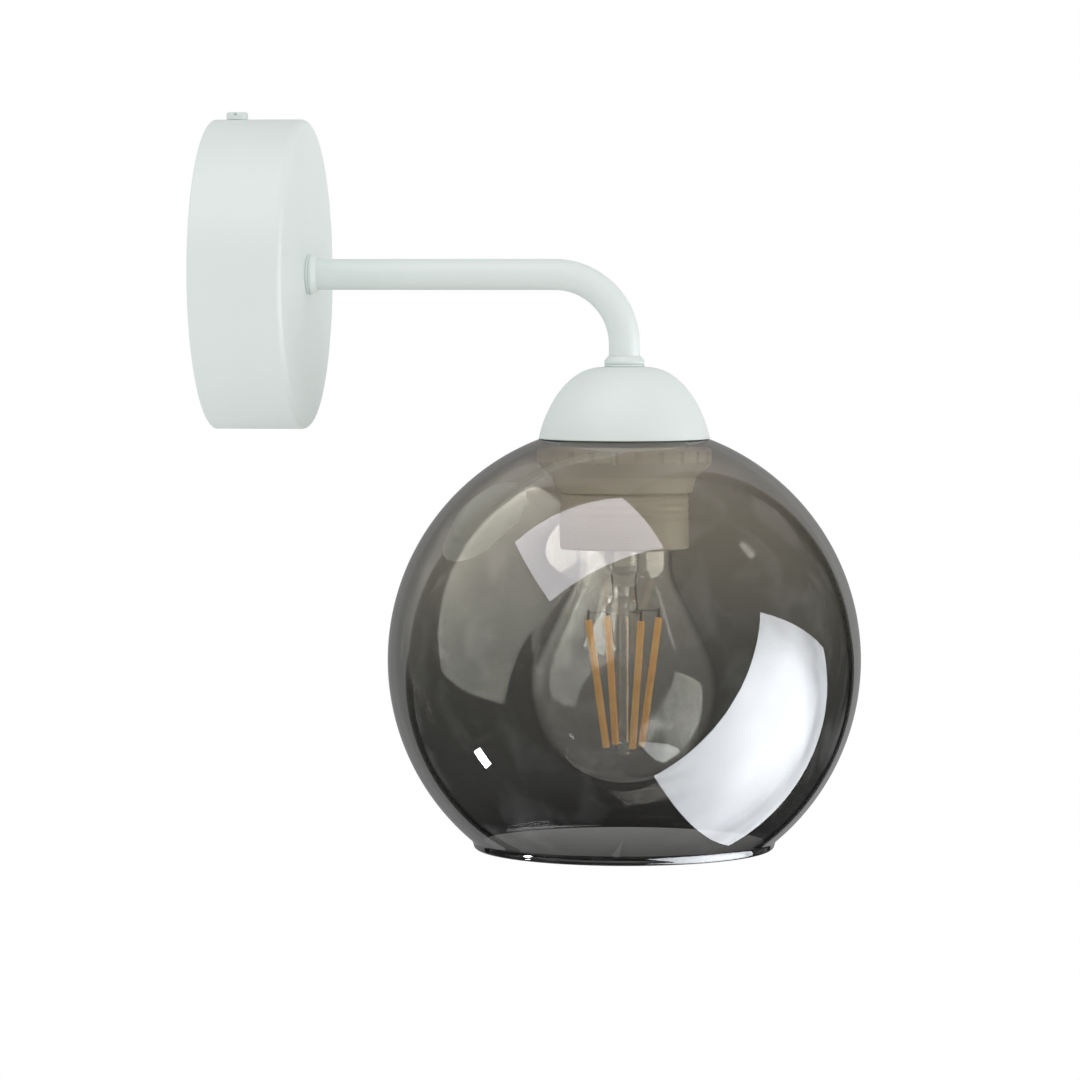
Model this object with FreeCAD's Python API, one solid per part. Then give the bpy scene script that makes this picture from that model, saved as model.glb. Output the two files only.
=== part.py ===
import FreeCAD, Part
import math
import os

# Globe wall sconce. Millimetres. The wall is the plane Y = 0, the lamp stands out along -Y, and +Z
# is up. The origin is the centre of the canopy's rim on the wall, on the axis of the arm.

os.makedirs("parts", exist_ok=True)

# Wall canopy: a spun steel dish, open towards the wall
canopy_d = 100.0
canopy_depth = 30.0
canopy_wall = 1.2
canopy_edge_r = 2.0
rim_break = 0.3

# Mounting bracket: a steel strip with an ear bent forward at each end
bracket_w = 20.0
bracket_t = 1.5
bracket_bend_r = 2.0
ear_w = 12.0
ear_reach = 12.0
ear_gap = 0.15
slot_spacing = 60.0
slot_l = 12.0
slot_w = 4.5
tapped_boss_t = 1.5
tapped_boss_d = 7.0

# Canopy screw: M4 cheese head, through the top of the canopy into the upper ear
canopy_screw_inset = 7.0
screw_d = 4.0
screw_l = 8.0
screw_head_d = 7.0
screw_head_h = 2.4
screw_head_break = 0.5
screw_point = 0.4
screw_slot_w = 1.0
screw_slot_depth = 1.1
thread_clearance = 0.05
shank_clearance = 0.25

# Protective earth: screw, ring lug and wire
earth_drop = 15.0
earth_head_h = 2.2
lug_d = 8.5
lug_t = 0.8
lug_barrel_d = 3.8
lug_barrel_l = 5.0
crimp_clearance = 0.05

# Terminal block: three poles on the bracket
pole_count = 3
pole_pitch = 11.0
pole_w = 9.2
block_h = 17.0
block_depth = 14.0
block_rise = 6.8
block_edge_r = 1.2
block_web_t = 6.0
block_web_inset = 3.0
insert_side = 5.0
insert_inset = 1.0
insert_clearance = 0.05
insert_bore_d = 3.4
pole_screw_d = 3.0
pole_screw_l = 4.0
pole_screw_spacing = 8.0
pole_well_clearance = 0.3
grub_slot_w = 0.6
grub_slot_depth = 0.8
block_screw_d = 2.5
block_screw_head_d = 4.6
block_screw_head_h = 1.6
block_screw_slot_w = 0.7
block_screw_slot_depth = 0.8
block_head_clearance = 0.2

# Cores
wire_d = 2.2
wire_offset = 1.7
wire_bend_r = 3.9
holder_wire_bend_r = 2.0
earth_wire_drop = 3.0
earth_wire_rise = 3.5
wire_end_gap = 0.5

# Arm: round steel tube with one bend, threaded M10x1 at both ends
tube_d = 10.0
tube_wall = 1.0
arm_reach = 133.0
arm_bend_r = 22.5
arm_stud_l = 9.0
arm_foot_inset = 0.4
hole_clearance = 0.1

# Grooved ring nut, the same at the canopy and on the dome
collar_d = 13.0
collar_l = 3.4
collar_cone_l = 1.5
collar_lip = 0.3
collar_groove = 0.45
collar_top_rim = 0.3
collar_back_d = 12.4

# Lock nut and toothed washer behind the canopy's face
nut_flats = 14.0
nut_t = 3.0
nut_corner_break = 0.8
lock_washer_d = 16.0
lock_washer_t = 0.8
lock_washer_teeth = 12
lock_washer_tooth_l = 1.6
lock_washer_gap_w = 1.0

# Dome over the lampholder
dome_drop = 29.6
dome_h = 22.6
dome_d = 55.4
dome_wall = 1.2
dome_flat_d = 16.0
dome_crown_r = 29.7
dome_shoulder_inset = 7.2
dome_washer_d = 15.0
dome_washer_t = 0.8

# Glass globe, free blown, with a fire-polished lip at its mouth
globe_d = 152.4
glass_wall = 2.4
globe_hole_d = 43.4
globe_mouth_d = 97.2
globe_lip_d = 98.2
globe_lip_h = 2.6
seat_gap = 0.3

# Shade ring under the glass
ring_d = 56.4
ring_rim_h = 4.4
ring_waist_h = 9.0
ring_waist_d = 46.2
ring_h = 14.0
ring_foot_d = 43.6
ring_notch_count = 24
ring_notch_d = 2.4
ring_notch_depth = 0.7
ring_notch_top = 1.2
ring_clearance = 0.1

# E27 lampholder
holder_d = 41.6
holder_l = 56.4
holder_cap_l = 20.0
holder_cap_d = 38.0
holder_cap_top_d = 15.0
holder_cap_waist_d = 28.0
holder_cap_waist = 4.0
holder_cap_shoulder = 11.0
holder_boss_l = 7.0
holder_wall = 2.2
spigot_l = 5.0
spigot_clearance = 0.1
insert_seat_l = 1.5
insert_t = 8.0
insert_wall = 1.9
neck_bore_d = 35.6
neck_bore_l = 10.0
edge_break = 0.8
terminal_pitch = 18.0
terminal_w = 6.0
terminal_depth = 5.0
terminal_h = 4.0
clamp_floor_t = 0.4
clamp_clearance = 0.1
terminal_screw_d = 3.0
terminal_screw_l = 3.6
barrier_x = 0.4
barrier_t = 1.5
barrier_h = 2.4
barrier_inset = 3.0
shell_bore_d = 27.0
shell_t = 0.4
shell_hole_d = 16.0
shell_l = 22.0
shell_clearance = 0.1
leaf_t = 0.4
leaf_w = 5.0
leaf_rise = 2.7
leaf_root = 5.0
leaf_bend = 1.0
leaf_pad = 3.2
leaf_tip = 5.6
leaf_tip_lift = 0.7
leaf_bend_r = 1.5
rivet_d = 3.0
rivet_head_d = 5.4
rivet_head_h = 0.6

# A60 lamp bulb with an E27 cap
bulb_seat = 30.0
bulb_l = 106.0
bulb_d = 60.2
bulb_cone_angle = 26.0
bulb_neck_d = 30.6
bulb_neck_r = 16.0
bulb_glass_t = 0.8
bulb_cap_d = 26.2
bulb_cap_top = 4.4
bulb_cap_end = 26.2
bulb_cap_t = 0.35
bulb_cap_shoulder_d = 22.6
bulb_collar_d = 27.6
bulb_collar_l = 2.4
bulb_cement_gap = 0.15
bulb_glass_start = 22.0
bulb_flare_slope = 1.3
bulb_belly_angle = 30.0
contact_d = 9.5
contact_t = 1.4
contact_gap = 0.3
insulator_top_d = 12.0
insulator_t = 4.0
insulator_clearance = 0.05

# Inside the bulb
stem_d = 9.6
stem_base_d = 23.0
stem_base_s = 24.0
stem_rim_h = 1.0
stem_flare_l = 7.0
pinch_s = 36.0
pinch_end_s = 42.4
pinch_t = 3.2
pinch_edge_r = 1.2
pinch_taper = 1.0
button_d = 8.8
button_s = 48.8
button_t = 5.6
button_break = 1.2
rod_d = 3.2
rod_end_gap = 11.0
bead_d = 4.4
filament_count = 4
filament_d = 2.4
filament_top_pcd = 25.2
filament_foot_pcd = 12.6
filament_top_s = 52.8
filament_foot_gap = 11.8
filament_turn = 23.7
support_d = 0.7
support_rise = 2.2
support_gap = 0.2
driver_gap = 1.0
driver_clearance = 0.15
driver_l = 12.0
driver_t = 1.0
capacitor_d = 6.0
capacitor_l = 8.0
capacitor_rise = 1.0

# Places worked out from the sizes above
V = FreeCAD.Vector
AXIS_Y = V(0, 1, 0)
AXIS_Z = V(0, 0, 1)
ORIGIN = V(0, 0, 0)

canopy_r = canopy_d / 2
canopy_inner_r = canopy_r - canopy_wall
face_y = -canopy_depth
face_inner_y = face_y + canopy_wall
tube_r = tube_d / 2
tube_bore_r = tube_r + hole_clearance
arm_inner_y = face_inner_y + arm_stud_l

dome_r = dome_d / 2
dome_top_z = -dome_drop
dome_rim_z = dome_top_z - dome_h
holder_top_z = dome_top_z - dome_wall - dome_washer_t
holder_foot_z = holder_top_z - holder_l
holder_shoulder_z = holder_top_z - holder_cap_l
holder_roof_z = holder_top_z - holder_boss_l
arm_foot_z = holder_roof_z + arm_foot_inset

globe_r = globe_d / 2
globe_inner_r = globe_r - glass_wall
dome_edge_r = dome_r - dome_wall
globe_z = dome_rim_z - seat_gap - math.sqrt(globe_r ** 2 - dome_edge_r ** 2)
ring_r = ring_d / 2
ring_top_z = globe_z + math.sqrt(globe_inner_r ** 2 - ring_r ** 2) - seat_gap

holder_r = holder_d / 2
holder_cap_r = holder_cap_d / 2
cavity_r = holder_cap_r - holder_wall
spigot_r = cavity_r - spigot_clearance
bulb_z = holder_foot_z + bulb_seat
shell_r = shell_bore_d / 2
shell_top_z = bulb_z + contact_gap + leaf_rise
insert_foot_z = shell_top_z
insert_top_z = insert_foot_z + insert_t
spigot_top_z = holder_shoulder_z + spigot_l
seat_r = spigot_r - insert_wall
seat_foot_z = insert_foot_z - insert_seat_l
rivet_x = -(leaf_root + leaf_bend) / 2
rod_end_s = bulb_l - rod_end_gap
filament_foot_s = bulb_l - filament_foot_gap

block_top_z = block_rise + block_h
block_mid_z = block_rise + block_h / 2
bore_y = -bracket_t - block_depth / 2


# Shared ways of making a solid

def straight(a, b):
    return Part.LineSegment(a, b).toShape()


def leaving_arc(start, heading, end):
    """The arc from start to end that leaves along heading, and its heading at the end."""
    chord = end - start
    along = V(chord).normalize()
    beside = heading - along * heading.dot(along)
    turn = math.atan2(beside.Length, heading.dot(along))
    rise = chord.Length / 2 * math.tan(turn / 2)
    middle = (start + end) / 2 + V(beside).normalize() * rise
    return Part.Arc(start, middle, end).toShape(), along * (2 * heading.dot(along)) - heading


def rounded_run(points, corners, closed=False):
    """Straight runs through the points. A corner above 0 is an arc of that radius, and one below 0
    is a chamfer that starts that far from the point."""
    count = len(points)
    edges = []
    entries = list(points)
    exits = list(points)
    for i in range(count):
        is_end = not closed and i in (0, count - 1)
        if is_end or corners[i] == 0:
            continue
        point = points[i]
        back = (points[i - 1] - point).normalize()
        ahead = (points[(i + 1) % count] - point).normalize()
        half = back.getAngle(ahead) / 2
        radius = corners[i]
        setback = radius / math.tan(half) if radius > 0 else -radius
        entries[i] = point + back * setback
        exits[i] = point + ahead * setback
        if radius < 0:
            edges.append(straight(entries[i], exits[i]))
            continue
        centre = point + (back + ahead).normalize() * (radius / math.sin(half))
        middle = centre + (point - centre).normalize() * radius
        edges.append(Part.Arc(entries[i], middle, exits[i]).toShape())
    for i in range(count if closed else count - 1):
        a = exits[i]
        b = entries[(i + 1) % count]
        if a.distanceToPoint(b) > 1e-6:
            edges.append(straight(a, b))
    return edges


def wire_of(edges):
    return Part.Wire(Part.__sortEdges__(edges))


def turned(edges, axis=AXIS_Z):
    """A full turn of a closed outline about an axis through the origin."""
    return Part.Face(wire_of(edges)).revolve(ORIGIN, axis, 360)


def turned_z(outline):
    """A turned piece about Z from (radius, height, corner) points."""
    points = [V(r, 0, z) for r, z, _ in outline]
    return turned(rounded_run(points, [c for _, _, c in outline], True), AXIS_Z)


def turned_y(outline):
    """A turned piece about Y from (radius, place along Y, corner) points."""
    points = [V(r, y, 0) for r, y, _ in outline]
    return turned(rounded_run(points, [c for _, _, c in outline], True), AXIS_Y)


def rod(radius, start, end):
    along = end - start
    return Part.makeCylinder(radius, along.Length, start, along)


def block(x, y, z):
    """A box from (low, high) pairs."""
    return Part.makeBox(x[1] - x[0], y[1] - y[0], z[1] - z[0], V(x[0], y[0], z[0]))


def prism(edges, depth):
    return Part.Face(wire_of(edges)).extrude(depth)


def swept(path_edges, section):
    """A solid of one closed section along a path of runs and tangent arcs."""
    return wire_of(path_edges).makePipeShell([section], True, False)


def round_section(radius, centre, axis):
    return Part.Wire(Part.Circle(centre, axis, radius).toShape())


def under_shade(shape):
    """Moves a piece made about Z to the axis of the shade."""
    shape.translate(V(0, -arm_reach, 0))
    return shape


def save(node, shape):
    shape.exportStep(os.path.join("parts", node + ".step"))
    print(node, len(shape.Solids), round(shape.Volume, 1), shape.isValid())


# Wall side

def wall_canopy():
    r = canopy_r
    outline = [
        (tube_bore_r, face_y, 0),
        (r, face_y, canopy_edge_r),
        (r, 0, -rim_break),
        (canopy_inner_r, 0, 0),
        (canopy_inner_r, face_inner_y, canopy_wall - canopy_edge_r),
        (tube_bore_r, face_inner_y, 0),
    ]
    hole = rod(screw_d / 2 + shank_clearance,
               V(0, -canopy_screw_inset, canopy_inner_r - 2), V(0, -canopy_screw_inset, r + 2))
    return turned_y(outline).cut(hole)


def ear_z():
    """The outer face of an ear, just inside the canopy's round wall at the ear's corners."""
    return math.sqrt(canopy_inner_r ** 2 - (ear_w / 2) ** 2) - ear_gap


def mounting_bracket():
    top = ear_z()
    points = [
        V(0, -ear_reach, top),
        V(0, 0, top),
        V(0, 0, -top),
        V(0, -ear_reach, -top),
        V(0, -ear_reach, bracket_t - top),
        V(0, -bracket_t, bracket_t - top),
        V(0, -bracket_t, top - bracket_t),
        V(0, -ear_reach, top - bracket_t),
    ]
    outer = bracket_bend_r + bracket_t
    radii = [0, outer, outer, 0, 0, bracket_bend_r, bracket_bend_r, 0]
    strip = prism(rounded_run(points, radii, True), V(bracket_w, 0, 0))
    strip.translate(V(-bracket_w / 2, 0, 0))
    taper_z = top - outer
    for side in (-1, 1):
        for end in (-1, 1):
            x = (side * ear_w / 2, side * bracket_w)
            z = (end * taper_z, end * (top + 1))
            waste = block(sorted(x), (-ear_reach - 1, 1), sorted(z))
            strip = strip.cut(waste)
    for end in (-1, 1):
        strip = strip.cut(slot_tool(end * slot_spacing / 2))
    boss = rod(tapped_boss_d / 2, V(0, -canopy_screw_inset, top - bracket_t),
               V(0, -canopy_screw_inset, top - bracket_t - tapped_boss_t))
    strip = strip.fuse(boss)
    tap = screw_d / 2 + thread_clearance
    boss_foot = V(0, -canopy_screw_inset, top - bracket_t - tapped_boss_t - 1)
    strip = strip.cut(rod(tap, V(0, -canopy_screw_inset, top + 1), boss_foot))
    strip = strip.cut(rod(tap, V(0, 1, -earth_drop), V(0, -bracket_t - 1, -earth_drop)))
    block_tap = block_screw_d / 2 + thread_clearance
    strip = strip.cut(rod(block_tap, V(block_screw_x(), 1, block_mid_z),
                          V(block_screw_x(), -bracket_t - 1, block_mid_z)))
    return strip.removeSplitter()


def slot_tool(z):
    """A round-ended slot along Z, through the strip."""
    reach = (slot_l - slot_w) / 2
    r = slot_w / 2
    depth = bracket_t + 2
    body = block((-r, r), (-depth, 1), (z - reach, z + reach))
    for end in (-1, 1):
        body = body.fuse(rod(r, V(0, -depth, z + end * reach), V(0, 1, z + end * reach)))
    return body


def cheese_screw(shank_d, shank_l, head_d, head_h, slot_w, slot_depth):
    """A slotted screw along Z: head up, with its seat at Z = 0."""
    screw = turned_z([
        (0, -shank_l, 0),
        (shank_d / 2, -shank_l, -screw_point),
        (shank_d / 2, 0, 0),
        (head_d / 2, 0, 0),
        (head_d / 2, head_h, -screw_head_break),
        (0, head_h, 0),
    ])
    slot = block((-head_d, head_d), (-slot_w / 2, slot_w / 2), (head_h - slot_depth, head_h + 1))
    return screw.cut(slot)


def placed(shape, axis, position):
    """Turns a piece made along +Z so that it points along axis, and moves it to its place."""
    turn = FreeCAD.Rotation(AXIS_Z, axis)
    moved = shape.copy()
    moved.Placement = FreeCAD.Placement(position, turn).multiply(moved.Placement)
    return moved


def canopy_screw():
    screw = cheese_screw(screw_d, screw_l, screw_head_d, screw_head_h, screw_slot_w, screw_slot_depth)
    return placed(screw, AXIS_Z, V(0, -canopy_screw_inset, canopy_r))


def earth_screw():
    """Clamps the lug on the bracket, and ends flush with the wall."""
    shank_l = bracket_t + lug_t
    screw = cheese_screw(screw_d, shank_l, screw_head_d, earth_head_h, screw_slot_w, screw_slot_depth)
    return placed(screw, -AXIS_Y, V(0, -shank_l, -earth_drop))


def lug_barrel_top():
    return -earth_drop + lug_d / 2 + lug_barrel_l


def earth_lug():
    y = -bracket_t
    ring = rod(lug_d / 2, V(0, y, -earth_drop), V(0, y - lug_t, -earth_drop))
    tongue = block((-lug_barrel_d / 4, lug_barrel_d / 4), (y - lug_t, y),
                   (-earth_drop, -earth_drop + lug_d / 2 + lug_barrel_l / 2))
    axis_y = y - lug_barrel_d / 2
    low = V(0, axis_y, -earth_drop + lug_d / 2)
    high = V(0, axis_y, lug_barrel_top())
    barrel = rod(lug_barrel_d / 2, low, high)
    lug = ring.fuse([tongue, barrel])
    bore = rod(wire_d / 2 + crimp_clearance, low - AXIS_Z, high + AXIS_Z)
    hole = rod(screw_d / 2 + shank_clearance, V(0, 1, -earth_drop), V(0, y - lug_t - 1, -earth_drop))
    return lug.cut(bore).cut(hole).removeSplitter()


def pole_x(i):
    return (i - (pole_count - 1) / 2) * pole_pitch


def block_screw_x():
    """The fixing screw stands in the web between two poles."""
    return pole_x(0) + pole_pitch / 2


def terminal_block():
    """Three moulded poles on one web, each with a square well for its insert."""
    back = -bracket_t
    front = back - block_depth
    web_front = back - block_web_t
    body = block((pole_x(0), pole_x(pole_count - 1)), (web_front, back),
                 (block_rise + block_web_inset, block_top_z - block_web_inset))
    for i in range(pole_count):
        x = pole_x(i)
        pole = block((x - pole_w / 2, x + pole_w / 2), (front, back), (block_rise, block_top_z))
        corners = [e for e in pole.Edges if e.BoundBox.ZLength > block_h / 2 and e.CenterOfMass.y < web_front]
        body = body.fuse(pole.makeFillet(block_edge_r, corners))
    side = insert_side / 2 + insert_clearance
    for i in range(pole_count):
        x = pole_x(i)
        body = body.cut(block((x - side, x + side), (bore_y - side, bore_y + side),
                              (block_rise - 1, block_top_z + 1)))
        for z in pole_screw_heights():
            well_r = pole_screw_d / 2 + pole_well_clearance
            body = body.cut(rod(well_r, V(x, bore_y, z), V(x, front - 1, z)))
    x = block_screw_x()
    head_r = block_screw_head_d / 2 + block_head_clearance
    shank_r = block_screw_d / 2 + shank_clearance
    body = body.cut(rod(head_r, V(x, web_front, block_mid_z), V(x, front - 1, block_mid_z)))
    body = body.cut(rod(shank_r, V(x, 1, block_mid_z), V(x, front - 1, block_mid_z)))
    return body.removeSplitter()


def pole_screw_heights():
    return (block_mid_z - pole_screw_spacing / 2, block_mid_z + pole_screw_spacing / 2)


def terminal_inserts():
    """Brass blocks with a bore for the cores and two tapped holes each."""
    inserts = []
    half = insert_side / 2
    tap = pole_screw_d / 2 + thread_clearance
    for i in range(pole_count):
        x = pole_x(i)
        body = block((x - half, x + half), (bore_y - half, bore_y + half),
                     (block_rise + insert_inset, block_top_z - insert_inset))
        body = body.cut(rod(insert_bore_d / 2, V(x, bore_y, block_rise), V(x, bore_y, block_top_z)))
        for z in pole_screw_heights():
            body = body.cut(rod(tap, V(x, bore_y, z), V(x, bore_y - insert_side, z)))
        inserts.append(body)
    return Part.makeCompound(inserts)


def grub_screw(diameter, tip, end):
    """A slotted screw with no head, along Y, with its slot at the end."""
    screw = rod(diameter / 2, tip, end)
    half = grub_slot_w / 2
    slot = block((tip.x - diameter, tip.x + diameter), (end.y - 1, end.y + grub_slot_depth),
                 (tip.z - half, tip.z + half))
    return screw.cut(slot)


def terminal_screws():
    """Grub screws, turned down on the cores."""
    tip_y = bore_y - wire_d / 2
    screws = []
    for i in range(pole_count):
        for z in pole_screw_heights():
            tip = V(pole_x(i), tip_y, z)
            screws.append(grub_screw(pole_screw_d, tip, tip - AXIS_Y * pole_screw_l))
    return Part.makeCompound(screws)


def block_screw():
    """Holds the block on the bracket, and ends flush with the wall."""
    shank_l = block_web_t + bracket_t
    screw = cheese_screw(block_screw_d, shank_l, block_screw_head_d, block_screw_head_h,
                         block_screw_slot_w, block_screw_slot_depth)
    return placed(screw, -AXIS_Y, V(block_screw_x(), -shank_l, block_mid_z))


def earth_wire():
    """From the middle pole down to the lug, ending inside its barrel."""
    x = pole_x((pole_count - 1) // 2)
    barrel_y = -bracket_t - lug_barrel_d / 2
    points = [
        V(x, bore_y, block_mid_z + pole_screw_spacing / 2),
        V(x, bore_y, block_rise - earth_wire_drop),
        V(x, barrel_y, lug_barrel_top() + earth_wire_rise),
        V(x, barrel_y, -earth_drop + lug_d / 2 + wire_end_gap),
    ]
    path = rounded_run(points, [0, wire_bend_r, wire_bend_r, 0])
    return swept(path, round_section(wire_d / 2, points[0], AXIS_Z))


def core_wire(side):
    """One core, from its pole through the arm to its clamp in the lampholder."""
    x = side * wire_offset
    pole = side * pole_pitch
    clamp = side * terminal_pitch / 2
    turn_z = (holder_roof_z + insert_top_z + terminal_h) / 2
    points = [
        V(pole, bore_y, block_mid_z + pole_screw_spacing / 2),
        V(pole, bore_y, 0),
        V(x, bore_y, 0),
        V(x, -arm_reach, 0),
        V(x, -arm_reach, turn_z),
        V(clamp, -arm_reach, turn_z),
        V(clamp, -arm_reach, insert_top_z + wire_end_gap),
    ]
    radii = [0, wire_bend_r, wire_bend_r, arm_bend_r, holder_wire_bend_r, holder_wire_bend_r, 0]
    path = rounded_run(points, radii)
    return swept(path, round_section(wire_d / 2, points[0], AXIS_Z))


# Arm

def arm_tube():
    points = [V(0, arm_inner_y, 0), V(0, -arm_reach, 0), V(0, -arm_reach, arm_foot_z)]
    path = rounded_run(points, [0, arm_bend_r, 0])
    outer = swept(path, round_section(tube_r, points[0], AXIS_Y))
    inner = swept(path, round_section(tube_r - tube_wall, points[0], AXIS_Y))
    return outer.cut(inner)


def collar_outline(seat, away):
    """Outline of a ring nut from its seat, with its cone on the side that looks away."""
    r = collar_d / 2
    cone_end = seat + away * (collar_l - collar_cone_l)
    groove = (seat + cone_end) / 2
    half = collar_groove / 2
    return [
        (tube_bore_r, seat, 0),
        (collar_back_d / 2, seat, 0),
        (r, seat + away * collar_lip, 0),
        (r, groove - away * half, 0),
        (r - collar_groove, groove, 0),
        (r, groove + away * half, 0),
        (r, cone_end, 0),
        (tube_r + collar_top_rim, seat + away * collar_l, 0),
        (tube_bore_r, seat + away * collar_l, 0),
    ]


def arm_collar():
    return turned_y(collar_outline(face_y, -1))


def dome_collar():
    return under_shade(turned_z(collar_outline(dome_top_z, 1)))


def arm_lock_washer():
    y = face_inner_y
    washer = rod(lock_washer_d / 2, V(0, y, 0), V(0, y + lock_washer_t, 0))
    washer = washer.cut(rod(tube_bore_r, V(0, y - 1, 0), V(0, y + lock_washer_t + 1, 0)))
    r = lock_washer_d / 2
    half = lock_washer_gap_w / 2
    for i in range(lock_washer_teeth):
        gap = block((r - lock_washer_tooth_l, r + 1), (y - 1, y + lock_washer_t + 1), (-half, half))
        gap.rotate(ORIGIN, AXIS_Y, 360 / lock_washer_teeth * i)
        washer = washer.cut(gap)
    return washer


def arm_lock_nut():
    """M10x1 hexagon nut with broken corners."""
    y = face_inner_y + lock_washer_t
    corner_r = nut_flats / 2 / math.cos(math.pi / 6)
    angles = [math.pi / 3 * i for i in range(6)]
    corners = [V(corner_r * math.cos(a), y, corner_r * math.sin(a)) for a in angles]
    body = prism(rounded_run(corners, [0] * 6, True), V(0, nut_t, 0))
    chamfer = turned_y([
        (0, y, 0),
        (nut_flats / 2, y, 0),
        (corner_r, y + nut_corner_break, 0),
        (corner_r, y + nut_t - nut_corner_break, 0),
        (nut_flats / 2, y + nut_t, 0),
        (0, y + nut_t, 0),
    ])
    bore = rod(tube_r + thread_clearance, V(0, y - 1, 0), V(0, y + nut_t + 1, 0))
    return body.common(chamfer).cut(bore)


# Dome and lampholder

def dome_cap():
    """A spun dome of even wall: a ball-shaped crown and a tangent flank, drawn for each skin."""
    crown_z = dome_top_z - math.sqrt(dome_crown_r ** 2 - (dome_flat_d / 2) ** 2)
    shoulder_r = dome_r - dome_shoulder_inset
    roof_z = dome_top_z - dome_wall
    rim = V(dome_r, 0, dome_rim_z)
    in_rim = V(dome_r - dome_wall, 0, dome_rim_z)

    def skin(crown_r, top_z, foot):
        """The arcs of one skin, from its flat top down to its foot, and where they start."""
        sine = shoulder_r / dome_crown_r
        slope = V(math.sqrt(1 - sine ** 2), 0, -sine)
        shoulder = V(crown_r * sine, 0, crown_z + crown_r * slope.x)
        start = V(math.sqrt(crown_r ** 2 - (top_z - crown_z) ** 2), 0, top_z)
        middle_x = (start.x + shoulder.x) / 2
        middle = V(middle_x, 0, crown_z + math.sqrt(crown_r ** 2 - middle_x ** 2))
        flank, _ = leaving_arc(shoulder, slope, foot)
        return [Part.Arc(start, middle, shoulder).toShape(), flank], start

    outer, start = skin(dome_crown_r, dome_top_z, rim)
    inner, in_start = skin(dome_crown_r - dome_wall, roof_z, in_rim)
    edges = outer + inner + [
        straight(V(tube_bore_r, 0, dome_top_z), start),
        straight(rim, in_rim),
        straight(in_start, V(tube_bore_r, 0, roof_z)),
        straight(V(tube_bore_r, 0, roof_z), V(tube_bore_r, 0, dome_top_z)),
    ]
    return under_shade(turned(edges))


def dome_washer():
    top = dome_top_z - dome_wall
    r = dome_washer_d / 2
    return under_shade(turned_z([(tube_bore_r, top, 0), (r, top, 0), (r, top - dome_washer_t, 0),
                                 (tube_bore_r, top - dome_washer_t, 0)]))


def holder_cap():
    """Upper half of the lampholder: a cup with a coned top and a threaded boss for the arm."""
    bore = tube_r + thread_clearance
    outline = [
        (bore, holder_top_z, 0),
        (holder_cap_top_d / 2, holder_top_z, 0),
        (holder_cap_waist_d / 2, holder_top_z - holder_cap_waist, 0),
        (holder_cap_r, holder_top_z - holder_cap_shoulder, 0),
        (holder_cap_r, holder_shoulder_z, 0),
        (cavity_r, holder_shoulder_z, 0),
        (cavity_r, holder_roof_z, -holder_wall),
        (bore, holder_roof_z, 0),
    ]
    return under_shade(turned_z(outline))


def holder_skirt():
    """Lower half of the lampholder: threaded outside for the shade ring."""
    neck = neck_bore_d / 2
    bore = shell_r + shell_t + shell_clearance
    foot = holder_foot_z
    outline = [
        (seat_r, spigot_top_z, 0),
        (spigot_r, spigot_top_z, 0),
        (spigot_r, holder_shoulder_z, 0),
        (holder_r, holder_shoulder_z, -edge_break),
        (holder_r, foot, -edge_break),
        (neck, foot, -edge_break),
        (neck, foot + neck_bore_l, 0),
        (bore, foot + neck_bore_l, 0),
        (bore, seat_foot_z, 0),
        (seat_r, seat_foot_z, 0),
    ]
    return under_shade(turned_z(outline))


def terminal_x():
    return (-terminal_pitch / 2, terminal_pitch / 2)


def holder_insert():
    """Ceramic carrier: the clamps stand on it, the screw shell and the leaf hang under it."""
    r = seat_r - insert_clearance
    body = rod(r, V(0, 0, insert_foot_z), V(0, 0, insert_top_z))
    rivet_hole = rod(rivet_d / 2 + insert_clearance,
                     V(rivet_x, 0, insert_foot_z - 1), V(rivet_x, 0, insert_top_z + 1))
    barrier = block((barrier_x, barrier_x + barrier_t), (barrier_inset - r, r - barrier_inset),
                    (insert_top_z, insert_top_z + barrier_h))
    body = body.fuse(barrier)
    return under_shade(body.cut(rivet_hole).removeSplitter())


def holder_terminals():
    """Brass clamps: the core goes down into each, and a grub screw holds it from the side."""
    clamps = []
    bore_r = wire_d / 2 + clamp_clearance
    tap = terminal_screw_d / 2 + thread_clearance
    top_z = insert_top_z + terminal_h
    for x in terminal_x():
        clamp = block((x - terminal_w / 2, x + terminal_w / 2), (-terminal_depth / 2, terminal_depth / 2),
                      (insert_top_z, top_z))
        middle = V(x, 0, (insert_top_z + top_z) / 2)
        clamp = clamp.cut(rod(bore_r, V(x, 0, insert_top_z + clamp_floor_t), V(x, 0, top_z + 1)))
        clamp = clamp.cut(rod(tap, middle, middle - AXIS_Y * terminal_depth))
        clamps.append(clamp)
    return under_shade(Part.makeCompound(clamps))


def holder_terminal_screws():
    screws = []
    for x in terminal_x():
        tip = V(x, -wire_d / 2, insert_top_z + terminal_h / 2)
        screws.append(grub_screw(terminal_screw_d, tip, tip - AXIS_Y * terminal_screw_l))
    return under_shade(Part.makeCompound(screws))


def holder_shell():
    """Thin brass cup with the E27 thread, open downwards."""
    top = shell_top_z
    foot = top - shell_l
    outline = [
        (shell_hole_d / 2, top, 0),
        (shell_r + shell_t, top, 0),
        (shell_r + shell_t, foot, 0),
        (shell_r, foot, 0),
        (shell_r, top - shell_t, 0),
        (shell_hole_d / 2, top - shell_t, 0),
    ]
    return under_shade(turned_z(outline))


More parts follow.
